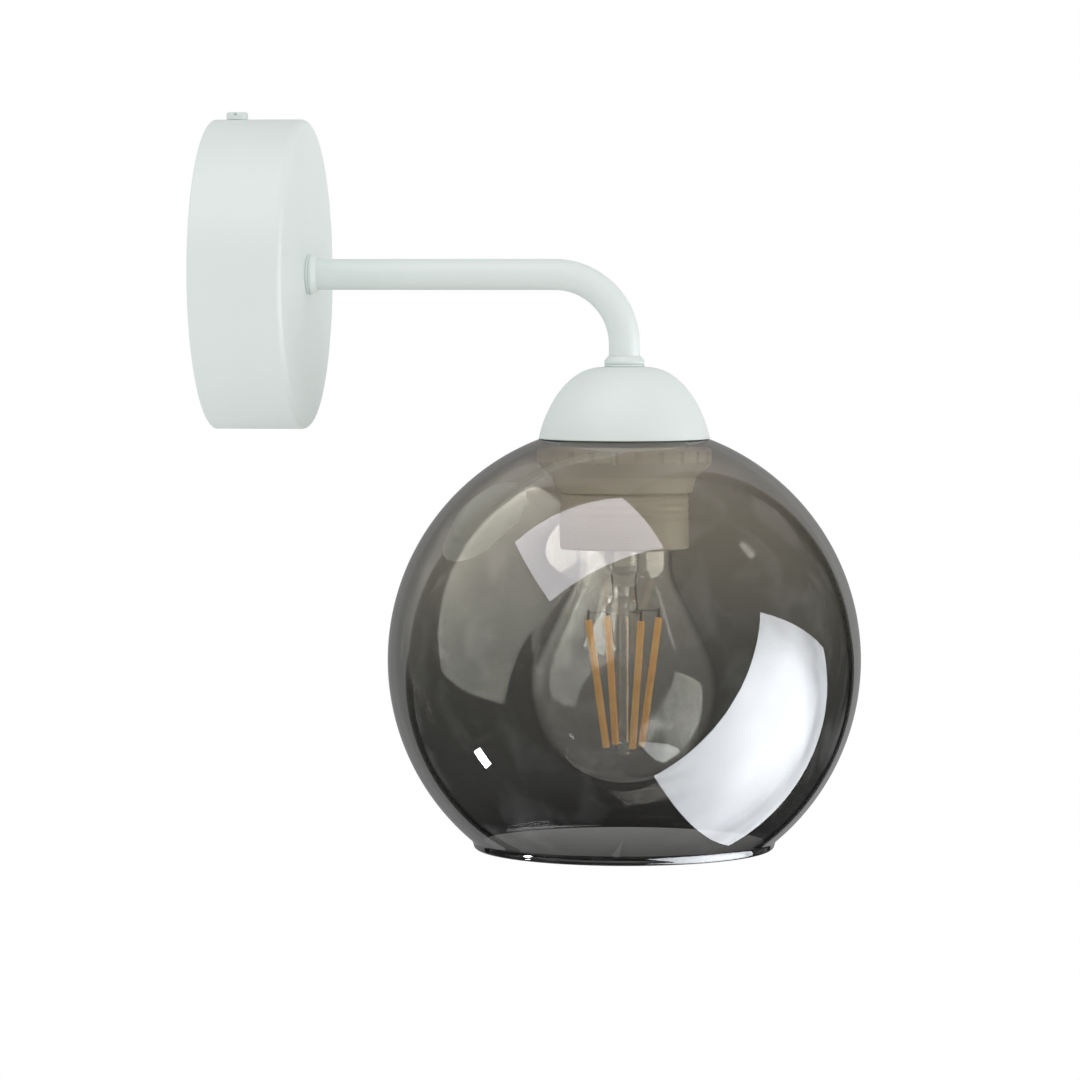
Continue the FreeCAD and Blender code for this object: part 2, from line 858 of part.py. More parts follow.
def holder_contact():
    """Sprung leaf under the insert, riveted through it, which bears on the bulb's contact."""
    root_z = insert_foot_z - leaf_t / 2
    pad_z = bulb_z + contact_gap + leaf_t / 2
    points = [
        V(-leaf_root, 0, root_z),
        V(-leaf_bend, 0, root_z),
        V(leaf_pad, 0, pad_z),
        V(leaf_tip, 0, pad_z + leaf_tip_lift),
    ]
    path = rounded_run(points, [0, leaf_bend_r, leaf_bend_r, 0])
    half_w = leaf_w / 2
    corners = [V(-leaf_root, y, z) for y, z in (
        (-half_w, root_z - leaf_t / 2), (half_w, root_z - leaf_t / 2),
        (half_w, root_z + leaf_t / 2), (-half_w, root_z + leaf_t / 2))]
    leaf = swept(path, wire_of(rounded_run(corners, [0] * 4, True)))
    shank = rod(rivet_d / 2, V(rivet_x, 0, insert_foot_z - leaf_t), V(rivet_x, 0, insert_top_z))
    head = rod(rivet_head_d / 2, V(rivet_x, 0, insert_top_z), V(rivet_x, 0, insert_top_z + rivet_head_h))
    return under_shade(leaf.fuse([shank, head]).removeSplitter())


# Shade

def glass_globe():
    """A blown ball with a ground hole on top and a short fire-polished lip round its mouth."""
    hole = globe_hole_d / 2
    lip = globe_lip_d / 2
    mouth = globe_mouth_d / 2

    def on_ball(r, ball_r, side):
        return V(r, 0, globe_z + side * math.sqrt(ball_r ** 2 - r ** 2))

    top_out = on_ball(hole, globe_r, 1)
    lip_out = on_ball(lip, globe_r, -1)
    top_in = on_ball(hole, globe_inner_r, 1)
    lip_in = on_ball(lip - glass_wall, globe_inner_r, -1)
    mouth_z = lip_out.z - globe_lip_h
    polish_z = mouth_z + glass_wall / 2
    mouth_out = V(mouth, 0, polish_z)
    mouth_in = V(mouth - glass_wall, 0, polish_z)
    edges = [
        Part.Arc(top_out, V(globe_r, 0, globe_z), lip_out).toShape(),
        straight(lip_out, mouth_out),
        Part.Arc(mouth_out, V(mouth - glass_wall / 2, 0, mouth_z), mouth_in).toShape(),
        straight(mouth_in, lip_in),
        Part.Arc(lip_in, V(globe_inner_r, 0, globe_z), top_in).toShape(),
        straight(top_in, top_out),
    ]
    return under_shade(turned(edges))


def shade_ring():
    """Moulded ring, threaded inside for the holder's skirt, with finger notches."""
    bore = holder_r + ring_clearance
    top = ring_top_z
    outline = [
        (bore, top, 0),
        (ring_r, top, 0),
        (ring_r, top - ring_rim_h, 0),
        (ring_waist_d / 2, top - ring_waist_h, 0),
        (ring_foot_d / 2, top - ring_h, -rim_break),
        (bore, top - ring_h, 0),
    ]
    ring = turned_z(outline)
    for i in range(ring_notch_count):
        angle = math.radians(360 / ring_notch_count * i)
        reach = ring_r + ring_notch_d / 2 - ring_notch_depth
        x = reach * math.cos(angle)
        y = reach * math.sin(angle)
        notch = rod(ring_notch_d / 2, V(x, y, top - ring_h - 1), V(x, y, top - ring_notch_top))
        ring = ring.cut(notch)
    return under_shade(ring)


# Bulb. Heights here count down from the top of its centre contact.

def bulb_height(s):
    return bulb_z - s


def bulb_contact():
    r = contact_d / 2
    top = bulb_height(0)
    foot = bulb_height(contact_t)
    edge_z = top - contact_t / 2
    arc = Part.Arc(V(0, 0, top), V(r / 2, 0, top - contact_t / 8), V(r, 0, edge_z)).toShape()
    edges = [arc, straight(V(r, 0, edge_z), V(r, 0, foot)), straight(V(r, 0, foot), V(0, 0, foot)),
             straight(V(0, 0, foot), V(0, 0, top))]
    return under_shade(turned(edges))


def bulb_insulator():
    """Black glass cone, the same all round, between the contact and the cap."""
    top = bulb_height(contact_t)
    foot = top - insulator_t
    inside = bulb_cap_shoulder_d / 2 - bulb_cap_t - insulator_clearance
    outline = [
        (0, top, 0),
        (insulator_top_d / 2, top, 0),
        (inside, bulb_height(bulb_cap_top), 0),
        (inside, foot, 0),
        (0, foot, 0),
    ]
    return under_shade(turned_z(outline))


def bulb_cap():
    r = bulb_cap_d / 2
    t = bulb_cap_t
    top = bulb_height(bulb_cap_top)
    foot = bulb_height(bulb_cap_end)
    shoulder_r = bulb_cap_shoulder_d / 2
    collar_r = bulb_collar_d / 2
    collar_z = foot + bulb_collar_l
    shoulder_z = top - (r - shoulder_r) - t
    outline = [
        (shoulder_r - t, top, 0),
        (shoulder_r, top, 0),
        (r, shoulder_z, 0),
        (r, collar_z, 0),
        (collar_r, foot, 0),
        (collar_r - t, foot, 0),
        (r - t, collar_z, 0),
        (r - t, shoulder_z - t / 2, 0),
        (shoulder_r - t, top - t, 0),
    ]
    return under_shade(turned_z(outline))


def bulb_skin(inset):
    """One skin of the envelope: neck, cone and ball, with a rounded corner at the neck."""
    ball = bulb_d / 2 - inset
    ball_z = bulb_height(bulb_l) + bulb_d / 2
    angle = math.radians(bulb_cone_angle)
    ball_start = V(ball * math.cos(angle), 0, ball_z + ball * math.sin(angle))
    neck_r = bulb_neck_d / 2 - inset
    neck_z = ball_start.z + (ball_start.x - neck_r) / math.tan(angle)
    collar_r = bulb_cap_d / 2 - bulb_cap_t - bulb_cement_gap - inset
    collar_z = bulb_height(bulb_cap_end)
    start_z = bulb_height(bulb_glass_start)
    flare_z = collar_z - (neck_r - collar_r) * bulb_flare_slope
    points = [V(collar_r, 0, start_z), V(collar_r, 0, collar_z), V(neck_r, 0, flare_z),
              V(neck_r, 0, neck_z), ball_start]
    edges = rounded_run(points, [0, 0, 0, bulb_neck_r + inset, 0])
    below = math.radians(bulb_belly_angle)
    belly = V(ball * math.cos(below), 0, ball_z - ball * math.sin(below))
    tip = V(0, 0, ball_z - ball)
    edges.append(Part.Arc(ball_start, belly, tip).toShape())
    return edges, points[0], tip


def bulb_envelope():
    outer, outer_top, outer_tip = bulb_skin(0)
    inner, inner_top, inner_tip = bulb_skin(bulb_glass_t)
    edges = outer + inner + [straight(outer_top, inner_top), straight(outer_tip, inner_tip)]
    return under_shade(turned(edges))


def bulb_stem():
    """Flared glass tube, pinched flat over the lead wires, with a button and a centre rod."""
    base = bulb_height(stem_base_s)
    tube_top = base - stem_flare_l
    outline = [
        (0, base, 0),
        (stem_base_d / 2, base, 0),
        (stem_base_d / 2, base - stem_rim_h, 0),
        (stem_d / 2, tube_top, 0),
        (stem_d / 2, bulb_height(pinch_s), -edge_break),
        (rod_d / 2, bulb_height(pinch_s) - pinch_taper, 0),
        (rod_d / 2, bulb_height(rod_end_s), 0),
        (0, bulb_height(rod_end_s), 0),
    ]
    stem = turned_z(outline)
    pinch = block((-stem_d / 2, stem_d / 2), (-pinch_t / 2, pinch_t / 2),
                  (bulb_height(pinch_end_s), bulb_height(pinch_s) + pinch_taper))
    pinch = pinch.makeFillet(pinch_edge_r, [e for e in pinch.Edges if e.BoundBox.ZLength > pinch_t])
    button_top = bulb_height(button_s - button_t / 2)
    button_foot = bulb_height(button_s + button_t / 2)
    button = turned_z([(0, button_top, 0), (button_d / 2, button_top, -button_break),
                       (button_d / 2, button_foot, -button_break), (0, button_foot, 0)])
    bead = Part.makeSphere(bead_d / 2, V(0, 0, bulb_height(rod_end_s)))
    return under_shade(stem.fuse([pinch, button, bead]).removeSplitter())


def filament_point(i, pcd, s):
    angle = math.radians(filament_turn + 360 / filament_count * i)
    return V(pcd / 2 * math.cos(angle), pcd / 2 * math.sin(angle), bulb_height(s))


def bulb_filaments():
    sticks = []
    for i in range(filament_count):
        top = filament_point(i, filament_top_pcd, filament_top_s)
        foot = filament_point(i, filament_foot_pcd, filament_foot_s)
        sticks.append(rod(filament_d / 2, top, foot))
    return under_shade(Part.makeCompound(sticks))


def at_reach(point, reach):
    """The point moved in or out, at its own height, to a distance from Z."""
    scale = reach / math.hypot(point.x, point.y)
    return V(point.x * scale, point.y * scale, point.z)


def bulb_support_wires():
    """Thin wires from the button and the end of the rod to both ends of each filament."""
    r = support_d / 2
    wires = []
    for i in range(filament_count):
        top = filament_point(i, filament_top_pcd, filament_top_s)
        knee = top + AXIS_Z * support_rise
        arm = rod(r, at_reach(knee, button_d / 2), knee)
        drop = rod(r, knee + AXIS_Z * support_d, top + AXIS_Z * support_gap)
        wires.append(arm.fuse(drop).removeSplitter())
        foot = filament_point(i, filament_foot_pcd, filament_foot_s) - AXIS_Z * (r + support_gap)
        wires.append(rod(r, at_reach(foot, bead_d / 2), foot))
    return under_shade(Part.makeCompound(wires))


def bulb_driver():
    """Small board with a capacitor, pushed into the hollow of the cap."""
    top = bulb_height(bulb_cap_top + insulator_t + driver_gap)
    foot = top - driver_l
    half = bulb_cap_d / 2 - bulb_cap_t - driver_clearance
    board = block((-half, half), (-driver_t / 2, driver_t / 2), (foot, top))
    can_y = driver_t / 2 + capacitor_d / 2
    low = V(0, can_y, foot + capacitor_rise)
    can = rod(capacitor_d / 2, low, low + AXIS_Z * capacitor_l)
    return under_shade(Part.makeCompound([board, can]))


save("wall_canopy", wall_canopy())
save("mounting_bracket", mounting_bracket())
save("canopy_screw", canopy_screw())
save("earth_screw", earth_screw())
save("earth_lug", earth_lug())
save("earth_wire", earth_wire())
save("terminal_block", terminal_block())
save("terminal_inserts", terminal_inserts())
save("terminal_screws", terminal_screws())
save("block_screw", block_screw())
save("live_wire", core_wire(1))
save("neutral_wire", core_wire(-1))
save("arm_tube", arm_tube())
save("arm_collar", arm_collar())
save("arm_lock_washer", arm_lock_washer())
save("arm_lock_nut", arm_lock_nut())
save("dome_collar", dome_collar())
save("dome_cap", dome_cap())
save("dome_washer", dome_washer())
save("holder_cap", holder_cap())
save("holder_insert", holder_insert())
save("holder_terminals", holder_terminals())
save("holder_terminal_screws", holder_terminal_screws())
save("holder_shell", holder_shell())
save("holder_contact", holder_contact())
save("holder_skirt", holder_skirt())
save("glass_globe", glass_globe())
save("shade_ring", shade_ring())
save("bulb_contact", bulb_contact())
save("bulb_insulator", bulb_insulator())
save("bulb_cap", bulb_cap())
save("bulb_envelope", bulb_envelope())
save("bulb_stem", bulb_stem())
save("bulb_support_wires", bulb_support_wires())
save("bulb_filaments", bulb_filaments())
save("bulb_driver", bulb_driver())
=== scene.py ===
import math

import bmesh
import bpy
from mathutils import Matrix, Vector


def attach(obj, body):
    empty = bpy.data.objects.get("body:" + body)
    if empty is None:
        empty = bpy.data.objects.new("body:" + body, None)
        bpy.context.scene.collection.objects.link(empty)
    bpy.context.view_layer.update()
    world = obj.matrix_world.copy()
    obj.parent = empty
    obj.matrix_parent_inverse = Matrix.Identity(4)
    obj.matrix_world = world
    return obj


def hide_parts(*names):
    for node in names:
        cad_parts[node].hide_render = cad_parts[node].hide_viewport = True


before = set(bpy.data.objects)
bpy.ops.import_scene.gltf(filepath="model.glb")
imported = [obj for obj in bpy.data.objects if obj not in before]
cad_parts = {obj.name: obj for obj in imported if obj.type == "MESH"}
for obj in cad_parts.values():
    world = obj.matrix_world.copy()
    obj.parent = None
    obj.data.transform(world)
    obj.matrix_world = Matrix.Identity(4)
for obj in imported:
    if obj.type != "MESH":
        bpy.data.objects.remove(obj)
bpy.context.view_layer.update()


# ---- Wall canopy and its screw ----
# A spun steel dish, 100 mm across and 30 mm deep, open to the wall and powder coated pale mint
# white. The coat has a faint orange peel. One cheese-head screw, painted with it, holds it on top.

def add_node(tree, kind, inputs=None, **settings):
    """A shader node. Each named input gets a value, or a link from another node's output."""
    made = tree.nodes.new("ShaderNode" + kind)
    for name, value in settings.items():
        setattr(made, name, value)
    for name, value in (inputs or {}).items():
        feed(tree, made.inputs[name], value)
    return made


def feed(tree, socket, value):
    if isinstance(value, bpy.types.NodeSocket):
        tree.links.new(value, socket)
    else:
        socket.default_value = value


def new_effect(name, inputs, outputs):
    """A node group for an effect that several finishes share."""
    tree = bpy.data.node_groups.new(name, "ShaderNodeTree")
    for label, value in inputs.items():
        kind = "NodeSocketColor" if isinstance(value, tuple) else "NodeSocketFloat"
        tree.interface.new_socket(label, in_out="INPUT", socket_type=kind).default_value = value
    for label, kind in outputs.items():
        tree.interface.new_socket(label, in_out="OUTPUT", socket_type=kind)
    return tree, tree.nodes.new("NodeGroupInput").outputs, tree.nodes.new("NodeGroupOutput").inputs


def use_effect(tree, effect, **values):
    """Places an effect in a material and returns its outputs."""
    placed = tree.nodes.new("ShaderNodeGroup")
    placed.node_tree = effect
    for label, value in values.items():
        feed(tree, placed.inputs[label.replace("_", " ")], value)
    return placed.outputs


def between(tree, factor, a, b):
    """A colour between a and b."""
    mix = add_node(tree, "Mix", {0: factor, 6: a, 7: b}, data_type="RGBA")
    return mix.outputs[2]


def spread(tree, value, low, high, from_low=0.0, from_high=1.0):
    """A value that runs from low to high as another runs over its own range."""
    return add_node(tree, "MapRange", {"Value": value, "From Min": from_low, "From Max": from_high,
                                       "To Min": low, "To Max": high}).outputs["Result"]


def bumps(tree, height, depth, strength=1.0):
    return add_node(tree, "Bump", {"Height": height, "Distance": depth,
                                   "Strength": strength}).outputs["Normal"]


def new_finish(name, **values):
    """A material with one Principled shader, and its values for what is the same all over."""
    material = bpy.data.materials.new(name)
    material.use_nodes = True
    shader = material.node_tree.nodes["Principled BSDF"]
    for label, value in values.items():
        shader.inputs[label.replace("_", " ")].default_value = value
    return material, material.node_tree, shader.inputs


def dress(finish, *nodes):
    """Gives CAD pieces their finish."""
    for name in nodes:
        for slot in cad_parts[name].material_slots:
            slot.material = finish


grain, wanted, given = new_effect(
    "surface grain",
    {"Grain Scale": 900.0, "Cloud Scale": 40.0},
    {"Height": "NodeSocketFloat", "Cloud": "NodeSocketFloat"})
place = add_node(grain, "TexCoord").outputs["Object"]
fine = add_node(grain, "TexNoise", {"Vector": place, "Scale": wanted["Grain Scale"], "Detail": 2.0})
broad = add_node(grain, "TexNoise", {"Vector": place, "Scale": wanted["Cloud Scale"],
                                     "Detail": 3.0})
feed(grain, given["Height"], fine.outputs[0])
feed(grain, given["Cloud"], spread(grain, broad.outputs[0], 0.0, 1.0, 0.3, 0.7))

MINT_LIGHT = (0.755, 0.812, 0.790, 1.0)
MINT_DEEP = (0.735, 0.796, 0.772, 1.0)
ORANGE_PEEL_DEPTH = 0.000012
powder_coat, tree, coat = new_finish("powder coat", Specular_IOR_Level=0.15)
look = use_effect(tree, grain, Grain_Scale=850.0, Cloud_Scale=26.0)
feed(tree, coat["Base Color"], between(tree, look["Cloud"], MINT_DEEP, MINT_LIGHT))
feed(tree, coat["Roughness"], spread(tree, look["Cloud"], 0.50, 0.60))
feed(tree, coat["Normal"], bumps(tree, look["Height"], ORANGE_PEEL_DEPTH))
dress(powder_coat, "wall_canopy", "canopy_screw")


# ---- Mounting bracket and the arm's nut and washer ----
# Strip and nuts are zinc-plated steel: pressed or rolled, bright, with a blue-grey cast, faint
# streaks along the strip and dull clouds where the plating is thicker.

rolled, wanted, given = new_effect(
    "rolled metal",
    {"Streak Scale": 500.0, "Cloud Scale": 90.0},
    {"Streak": "NodeSocketFloat", "Tarnish": "NodeSocketFloat"})
place = add_node(rolled, "TexCoord").outputs["Object"]
along = add_node(rolled, "Mapping", {"Vector": place, "Scale": (1.0, 1.0, 0.06)})
streaks = add_node(rolled, "TexNoise", {"Vector": along.outputs["Vector"],
                                        "Scale": wanted["Streak Scale"], "Detail": 4.0})
clouds = add_node(rolled, "TexNoise", {"Vector": place, "Scale": wanted["Cloud Scale"],
                                       "Detail": 5.0, "Roughness": 0.6})
feed(rolled, given["Streak"], streaks.outputs[0])
feed(rolled, given["Tarnish"], spread(rolled, clouds.outputs[0], 0.0, 1.0, 0.35, 0.7))


def plated(name, bright, dull, smooth, rough, streak_depth=0.000006, **scales):
    """A plated or bare metal: bright where it is rubbed, duller in clouds, faintly streaked."""
    material, tree, metal = new_finish(name, Metallic=1.0)
    look = use_effect(tree, rolled, **scales)
    feed(tree, metal["Base Color"], between(tree, look["Tarnish"], bright, dull))
    feed(tree, metal["Roughness"], spread(tree, look["Tarnish"], smooth, rough))
    feed(tree, metal["Normal"], bumps(tree, look["Streak"], streak_depth))
    return material


zinc = plated("zinc plating", (0.78, 0.80, 0.83, 1.0), (0.56, 0.57, 0.58, 1.0), 0.24, 0.42)
dress(zinc, "mounting_bracket", "arm_lock_nut", "arm_lock_washer")


# ---- Protective earth ----
# A brass screw clamps a tinned copper ring lug on the bracket. Its wire is green with a yellow
# stripe, extruded PVC, and runs up to the middle pole of the terminal block.

brass = plated("brass", (0.86, 0.66, 0.30, 1.0), (0.60, 0.42, 0.18, 1.0), 0.22, 0.40)
tin = plated("tinned copper", (0.80, 0.78, 0.74, 1.0), (0.60, 0.58, 0.55, 1.0), 0.30, 0.48)
dress(brass, "earth_screw")
dress(tin, "earth_lug")


def sleeve(name, colour, deeper, stripe=None):
    """Extruded PVC: satin, a little uneven in colour, with one stripe if it has one."""
    material, tree, pvc = new_finish(name, Specular_IOR_Level=0.45)
    look = use_effect(tree, grain, Grain_Scale=700.0, Cloud_Scale=60.0)
    paint = between(tree, look["Cloud"], colour, deeper)
    if stripe:
        place = add_node(tree, "TexCoord").outputs["Object"]
        across = add_node(tree, "SeparateXYZ", {"Vector": place}).outputs["X"]
        side = add_node(tree, "Math", {0: across, 1: 0.0002}, operation="GREATER_THAN").outputs[0]
        paint = between(tree, side, paint, stripe)
    feed(tree, pvc["Base Color"], paint)
    feed(tree, pvc["Roughness"], spread(tree, look["Cloud"], 0.34, 0.46))
    feed(tree, pvc["Normal"], bumps(tree, look["Height"], 0.00001))
    return material


dress(sleeve("green and yellow PVC", (0.03, 0.26, 0.05, 1.0), (0.02, 0.20, 0.04, 1.0),
             (0.80, 0.62, 0.03, 1.0)), "earth_wire")


# ---- Supply terminals ----
# Three poles moulded from milky polyamide, screwed on the bracket. Each has a brass insert, and two
# zinc-plated grub screws that clamp the cores.

def moulded(name, light, deep, grain_depth=0.00001, **values):
    """A moulded plastic or a fired ceramic: fine grain, and a colour that drifts a little."""
    material, tree, body = new_finish(name, **values)
    look = use_effect(tree, grain, Grain_Scale=1400.0, Cloud_Scale=55.0)
    feed(tree, body["Base Color"], between(tree, look["Cloud"], deep, light))
    feed(tree, body["Roughness"], spread(tree, look["Cloud"], 0.38, 0.52))
    feed(tree, body["Normal"], bumps(tree, look["Height"], grain_depth))
    return material


polyamide = moulded("milky polyamide", (0.78, 0.77, 0.72, 1.0), (0.72, 0.70, 0.64, 1.0),
                    Subsurface_Weight=0.25, Subsurface_Scale=0.002)
dress(polyamide, "terminal_block")
dress(brass, "terminal_inserts")
dress(zinc, "terminal_screws", "block_screw")


# ---- Cores ----
# A brown and a blue PVC core, line and neutral, run from the outer poles through the arm to the
# clamps in the lampholder.

dress(sleeve("brown PVC", (0.11, 0.045, 0.02, 1.0), (0.08, 0.03, 0.014, 1.0)), "live_wire")
dress(sleeve("blue PVC", (0.03, 0.12, 0.42, 1.0), (0.02, 0.09, 0.33, 1.0)), "neutral_wire")


# ---- Arm and its ring nuts ----
# A bent steel tube, 10 mm thick, with a grooved ring nut at the canopy and one on the dome. All are
# coated with the canopy.

dress(powder_coat, "arm_tube", "arm_collar", "dome_collar")


# ---- Dome ----
# Spun steel cover over the lampholder's top and the hole of the glass, coated like the arm. A ring
# nut on the arm holds it, and a zinc-plated washer lies under it.

MM = 0.001
SHADE_Y = -133.0
ARC_STEP = math.radians(6)


def bent(points, closed=False):
    """A line through (radius, height, corner radius) points, with its corners as arcs."""
    line = []
    count = len(points)
    for i, (r, z, corner) in enumerate(points):
        here = Vector((r, z))
        if corner <= 0 or (not closed and i in (0, count - 1)):
            line.append(here)
            continue
        back = (Vector(points[i - 1][:2]) - here).normalized()
        ahead = (Vector(points[(i + 1) % count][:2]) - here).normalized()
        half = back.angle(ahead) / 2
        centre = here + (back + ahead).normalized() * (corner / math.sin(half))
        start = here + back * (corner / math.tan(half)) - centre
        turn = math.pi - 2 * half
        if start.cross(here + ahead * (corner / math.tan(half)) - centre) < 0:
            turn = -turn
        steps = max(2, math.ceil(abs(turn) / ARC_STEP))
        for k in range(steps + 1):
            line.append(centre + Matrix.Rotation(turn * k / steps, 2) @ start)
    return line


def thread_cut(pitch, depth, top, foot):
    """How far a rolled thread goes in at a place, fading out at both of its ends."""
    def cut(angle, z):
        fade = min(1.0, max(0.0, (top - z) / pitch), max(0.0, (z - foot) / pitch))
        return depth * fade * (0.5 - 0.5 * math.cos(math.tau * (z / pitch + angle / math.tau)))
    return cut


def turned(name, line, finish, slices=144, closed=True, cut=None, cut_from=0.0):
    """A smooth turned piece on the shade's axis, from a line of (radius, height) points."""
    rows = []
    vertices = []
    for r, z in line:
        if r < 1e-6:
            rows.append([len(vertices)] * slices)
            vertices.append((0.0, SHADE_Y * MM, z * MM))
            continue
        rows.append(range(len(vertices), len(vertices) + slices))
        for k in range(slices):
            angle = math.tau * k / slices
            reach = r - (cut(angle, z) if cut and r > cut_from else 0.0)
            vertices.append((reach * MM * math.cos(angle),
                             (SHADE_Y + reach * math.sin(angle)) * MM, z * MM))
    faces = []
    for i in range(len(rows) if closed else len(rows) - 1):
        a, b = rows[i], rows[(i + 1) % len(rows)]
        for k in range(slices):
            ring = [a[k], a[(k + 1) % slices], b[(k + 1) % slices], b[k]]
            ring = list(dict.fromkeys(ring))
            if len(ring) > 2:
                faces.append(ring)
    return piece(name, vertices, faces, finish)


def piece(name, vertices, faces, finish, smooth=True):
    mesh = bpy.data.meshes.new(name)
    mesh.from_pydata(vertices, [], faces)
    mesh.validate()
    mesh.update()
    mesh.polygons.foreach_set("use_smooth", [smooth] * len(mesh.polygons))
    mesh.materials.append(finish)
    made = bpy.data.objects.new(name, mesh)
    bpy.context.scene.collection.objects.link(made)
    return made


def outward(made):
    """Turns a closed piece's faces outward."""
    shell = bmesh.new()
    shell.from_mesh(made.data)
    bmesh.ops.recalc_face_normals(shell, faces=shell.faces)
    shell.to_mesh(made.data)
    shell.free()
    return made


def stand_for(made, body, slot, *nodes):
    """A piece that stands for CAD nodes on a body."""
    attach(made, body)
    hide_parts(*nodes)


DOME_TOP = -29.6
DOME_H = 22.6
DOME_SKIN = 1.2
DOME_RIM_R = 27.62
DOME_RIM_INNER_R = 26.45
ARM_HOLE_R = 5.2
CROWN_R = 5.97
CROWN_SPREAD = 22.25
CROWN_DEPTH = 27.35
SHOULDER_FULLNESS = 0.44
FLANK_BEND = 1.5
DOME_ROWS = 48


def dome_reach(drop):
    """The dome's radius at a drop below its top: a full shoulder, then a nearly straight flank."""
    left = (1 - drop / CROWN_DEPTH) ** FLANK_BEND
    return CROWN_R + CROWN_SPREAD * (1 - left) ** SHOULDER_FULLNESS


drops = [DOME_H * (k / DOME_ROWS) ** 2 for k in range(DOME_ROWS + 1)]
dome_outer = [Vector((dome_reach(drop), DOME_TOP - drop)) for drop in drops]
dome_inner = []
for i in range(1, DOME_ROWS):
    run = (dome_outer[i + 1] - dome_outer[i - 1]).normalized()
    inside = dome_outer[i] + Vector((run.y, -run.x)) * DOME_SKIN
    if inside.y < DOME_TOP - DOME_SKIN:
        dome_inner.append(inside)
dome_foot = DOME_TOP - DOME_H
dome_rim = [Vector((DOME_RIM_R, dome_foot - 0.2)), Vector((DOME_RIM_R - 0.12, dome_foot - 0.42)),
            Vector((DOME_RIM_INNER_R, dome_foot))]
dome_line = ([Vector((ARM_HOLE_R, DOME_TOP))] + dome_outer + dome_rim + dome_inner[::-1]
             + [Vector((ARM_HOLE_R, DOME_TOP - DOME_SKIN))])
dome = turned("dome_shell", dome_line, powder_coat, slices=180)
stand_for(outward(dome), "fixture", "powder_coat", "dome_cap")
dress(zinc, "dome_washer")


# ---- Lampholder ----
# An E27 holder moulded from white plastic. The skirt screws into the cap and carries a coarse
# thread for the shade ring. Inside are a ceramic carrier, brass clamps, a screw shell and a leaf.

holder_white = moulded("white holder plastic", (0.80, 0.78, 0.73, 1.0), (0.76, 0.735, 0.68, 1.0),
                       0.000014, Specular_IOR_Level=0.5)
ceramic = moulded("fired ceramic", (0.82, 0.81, 0.77, 1.0), (0.76, 0.75, 0.70, 1.0), 0.00003)
dress(holder_white, "holder_cap")
dress(ceramic, "holder_insert")
dress(brass, "holder_terminals", "holder_shell", "holder_contact")
dress(zinc, "holder_terminal_screws")

SKIRT_R = 20.8
SKIRT_TOP = -51.6
SKIRT_FOOT = -88.0
THREAD_FOOT = -80.0
THREAD_TOP = SKIRT_TOP - 1.0
THREAD_PITCH = 2.5
THREAD_DEPTH = 0.35
THREAD_ROW = 0.22
thread_steps = [(SKIRT_R, THREAD_TOP - THREAD_ROW * k, 0)
                for k in range(int((SKIRT_TOP - THREAD_FOOT) / THREAD_ROW))]
skirt_line = bent([(14.8, -46.6, 0.2), (16.7, -46.6, 0.3), (16.7, SKIRT_TOP, 0.2),
                   (SKIRT_R, SKIRT_TOP, 0.6)] + thread_steps
                  + [(SKIRT_R, SKIRT_FOOT, 0.8), (17.8, SKIRT_FOOT, 0.8), (17.8, -78.0, 0.4),
                     (14.0, -78.0, 0.4), (14.0, -56.5, 0.2), (14.8, -56.5, 0.2)], closed=True)
skirt = turned("lampholder_skirt", skirt_line, holder_white, slices=128,
               cut=thread_cut(THREAD_PITCH, THREAD_DEPTH, THREAD_TOP, THREAD_FOOT), cut_from=20.0)
stand_for(outward(skirt), "fixture", "holder_plastic", "holder_skirt")


# ---- Smoked glass globe ----
# Free-blown ball, 152 mm across, with a ground hole on top and a fire-polished lip round its mouth.
# The smoke is in the glass: warm and lighter at the top, nearly black towards the mouth.

GLOBE_Z = -123.944
GLOBE_R = 76.2
GLASS_WALL = 2.4
HOLE_R = 21.7
LIP_R = 49.1
LIP_MOUTH_R = 48.6
LIP_Z = -184.81
BALL_STEPS = 84
SMOKE_FOOT = -0.181
SMOKE_TOP = -0.047


def ball_run(radius, start, end):
    """Points down the ball from one polar angle to another."""
    turns = [start + (end - start) * k / BALL_STEPS for k in range(BALL_STEPS + 1)]
    return [(radius * math.sin(a), GLOBE_Z + radius * math.cos(a), 0) for a in turns]


inner_r = GLOBE_R - GLASS_WALL
polish_z = LIP_Z + GLASS_WALL / 2
outer_run = ball_run(GLOBE_R, math.asin(HOLE_R / GLOBE_R), math.pi - math.asin(LIP_R / GLOBE_R))
inner_run = ball_run(inner_r, math.pi - math.asin((LIP_R - GLASS_WALL) / inner_r),
                     math.asin(HOLE_R / inner_r))
polish = [(LIP_MOUTH_R - GLASS_WALL / 2 + GLASS_WALL / 2 * math.cos(math.radians(a)),
           polish_z - GLASS_WALL / 2 * math.sin(math.radians(a)), 0) for a in range(0, 181, 12)]


def rounded_ends(run, first, last):
    (r0, z0, _), (r1, z1, _) = run[0], run[-1]
    return [(r0, z0, first)] + run[1:-1] + [(r1, z1, last)]


globe_line = bent(rounded_ends(outer_run, 0.4, 1.6) + polish + rounded_ends(inner_run, 2.0, 0.4),
                  closed=True)


def ramp(tree, value, stops):
    """A colour that runs through (position, colour) stops as a value goes from 0 to 1."""
    made = add_node(tree, "ValToRGB", {"Fac": value})
    marks = made.color_ramp.elements
    marks[0].position = stops[0][0]
    marks[1].position = stops[-1][0]
    for position, _ in stops[1:-1]:
        marks.new(position)
    for mark, (_, colour) in zip(marks, stops):
        mark.color = (*colour, 1.0)
    return made.outputs["Color"]


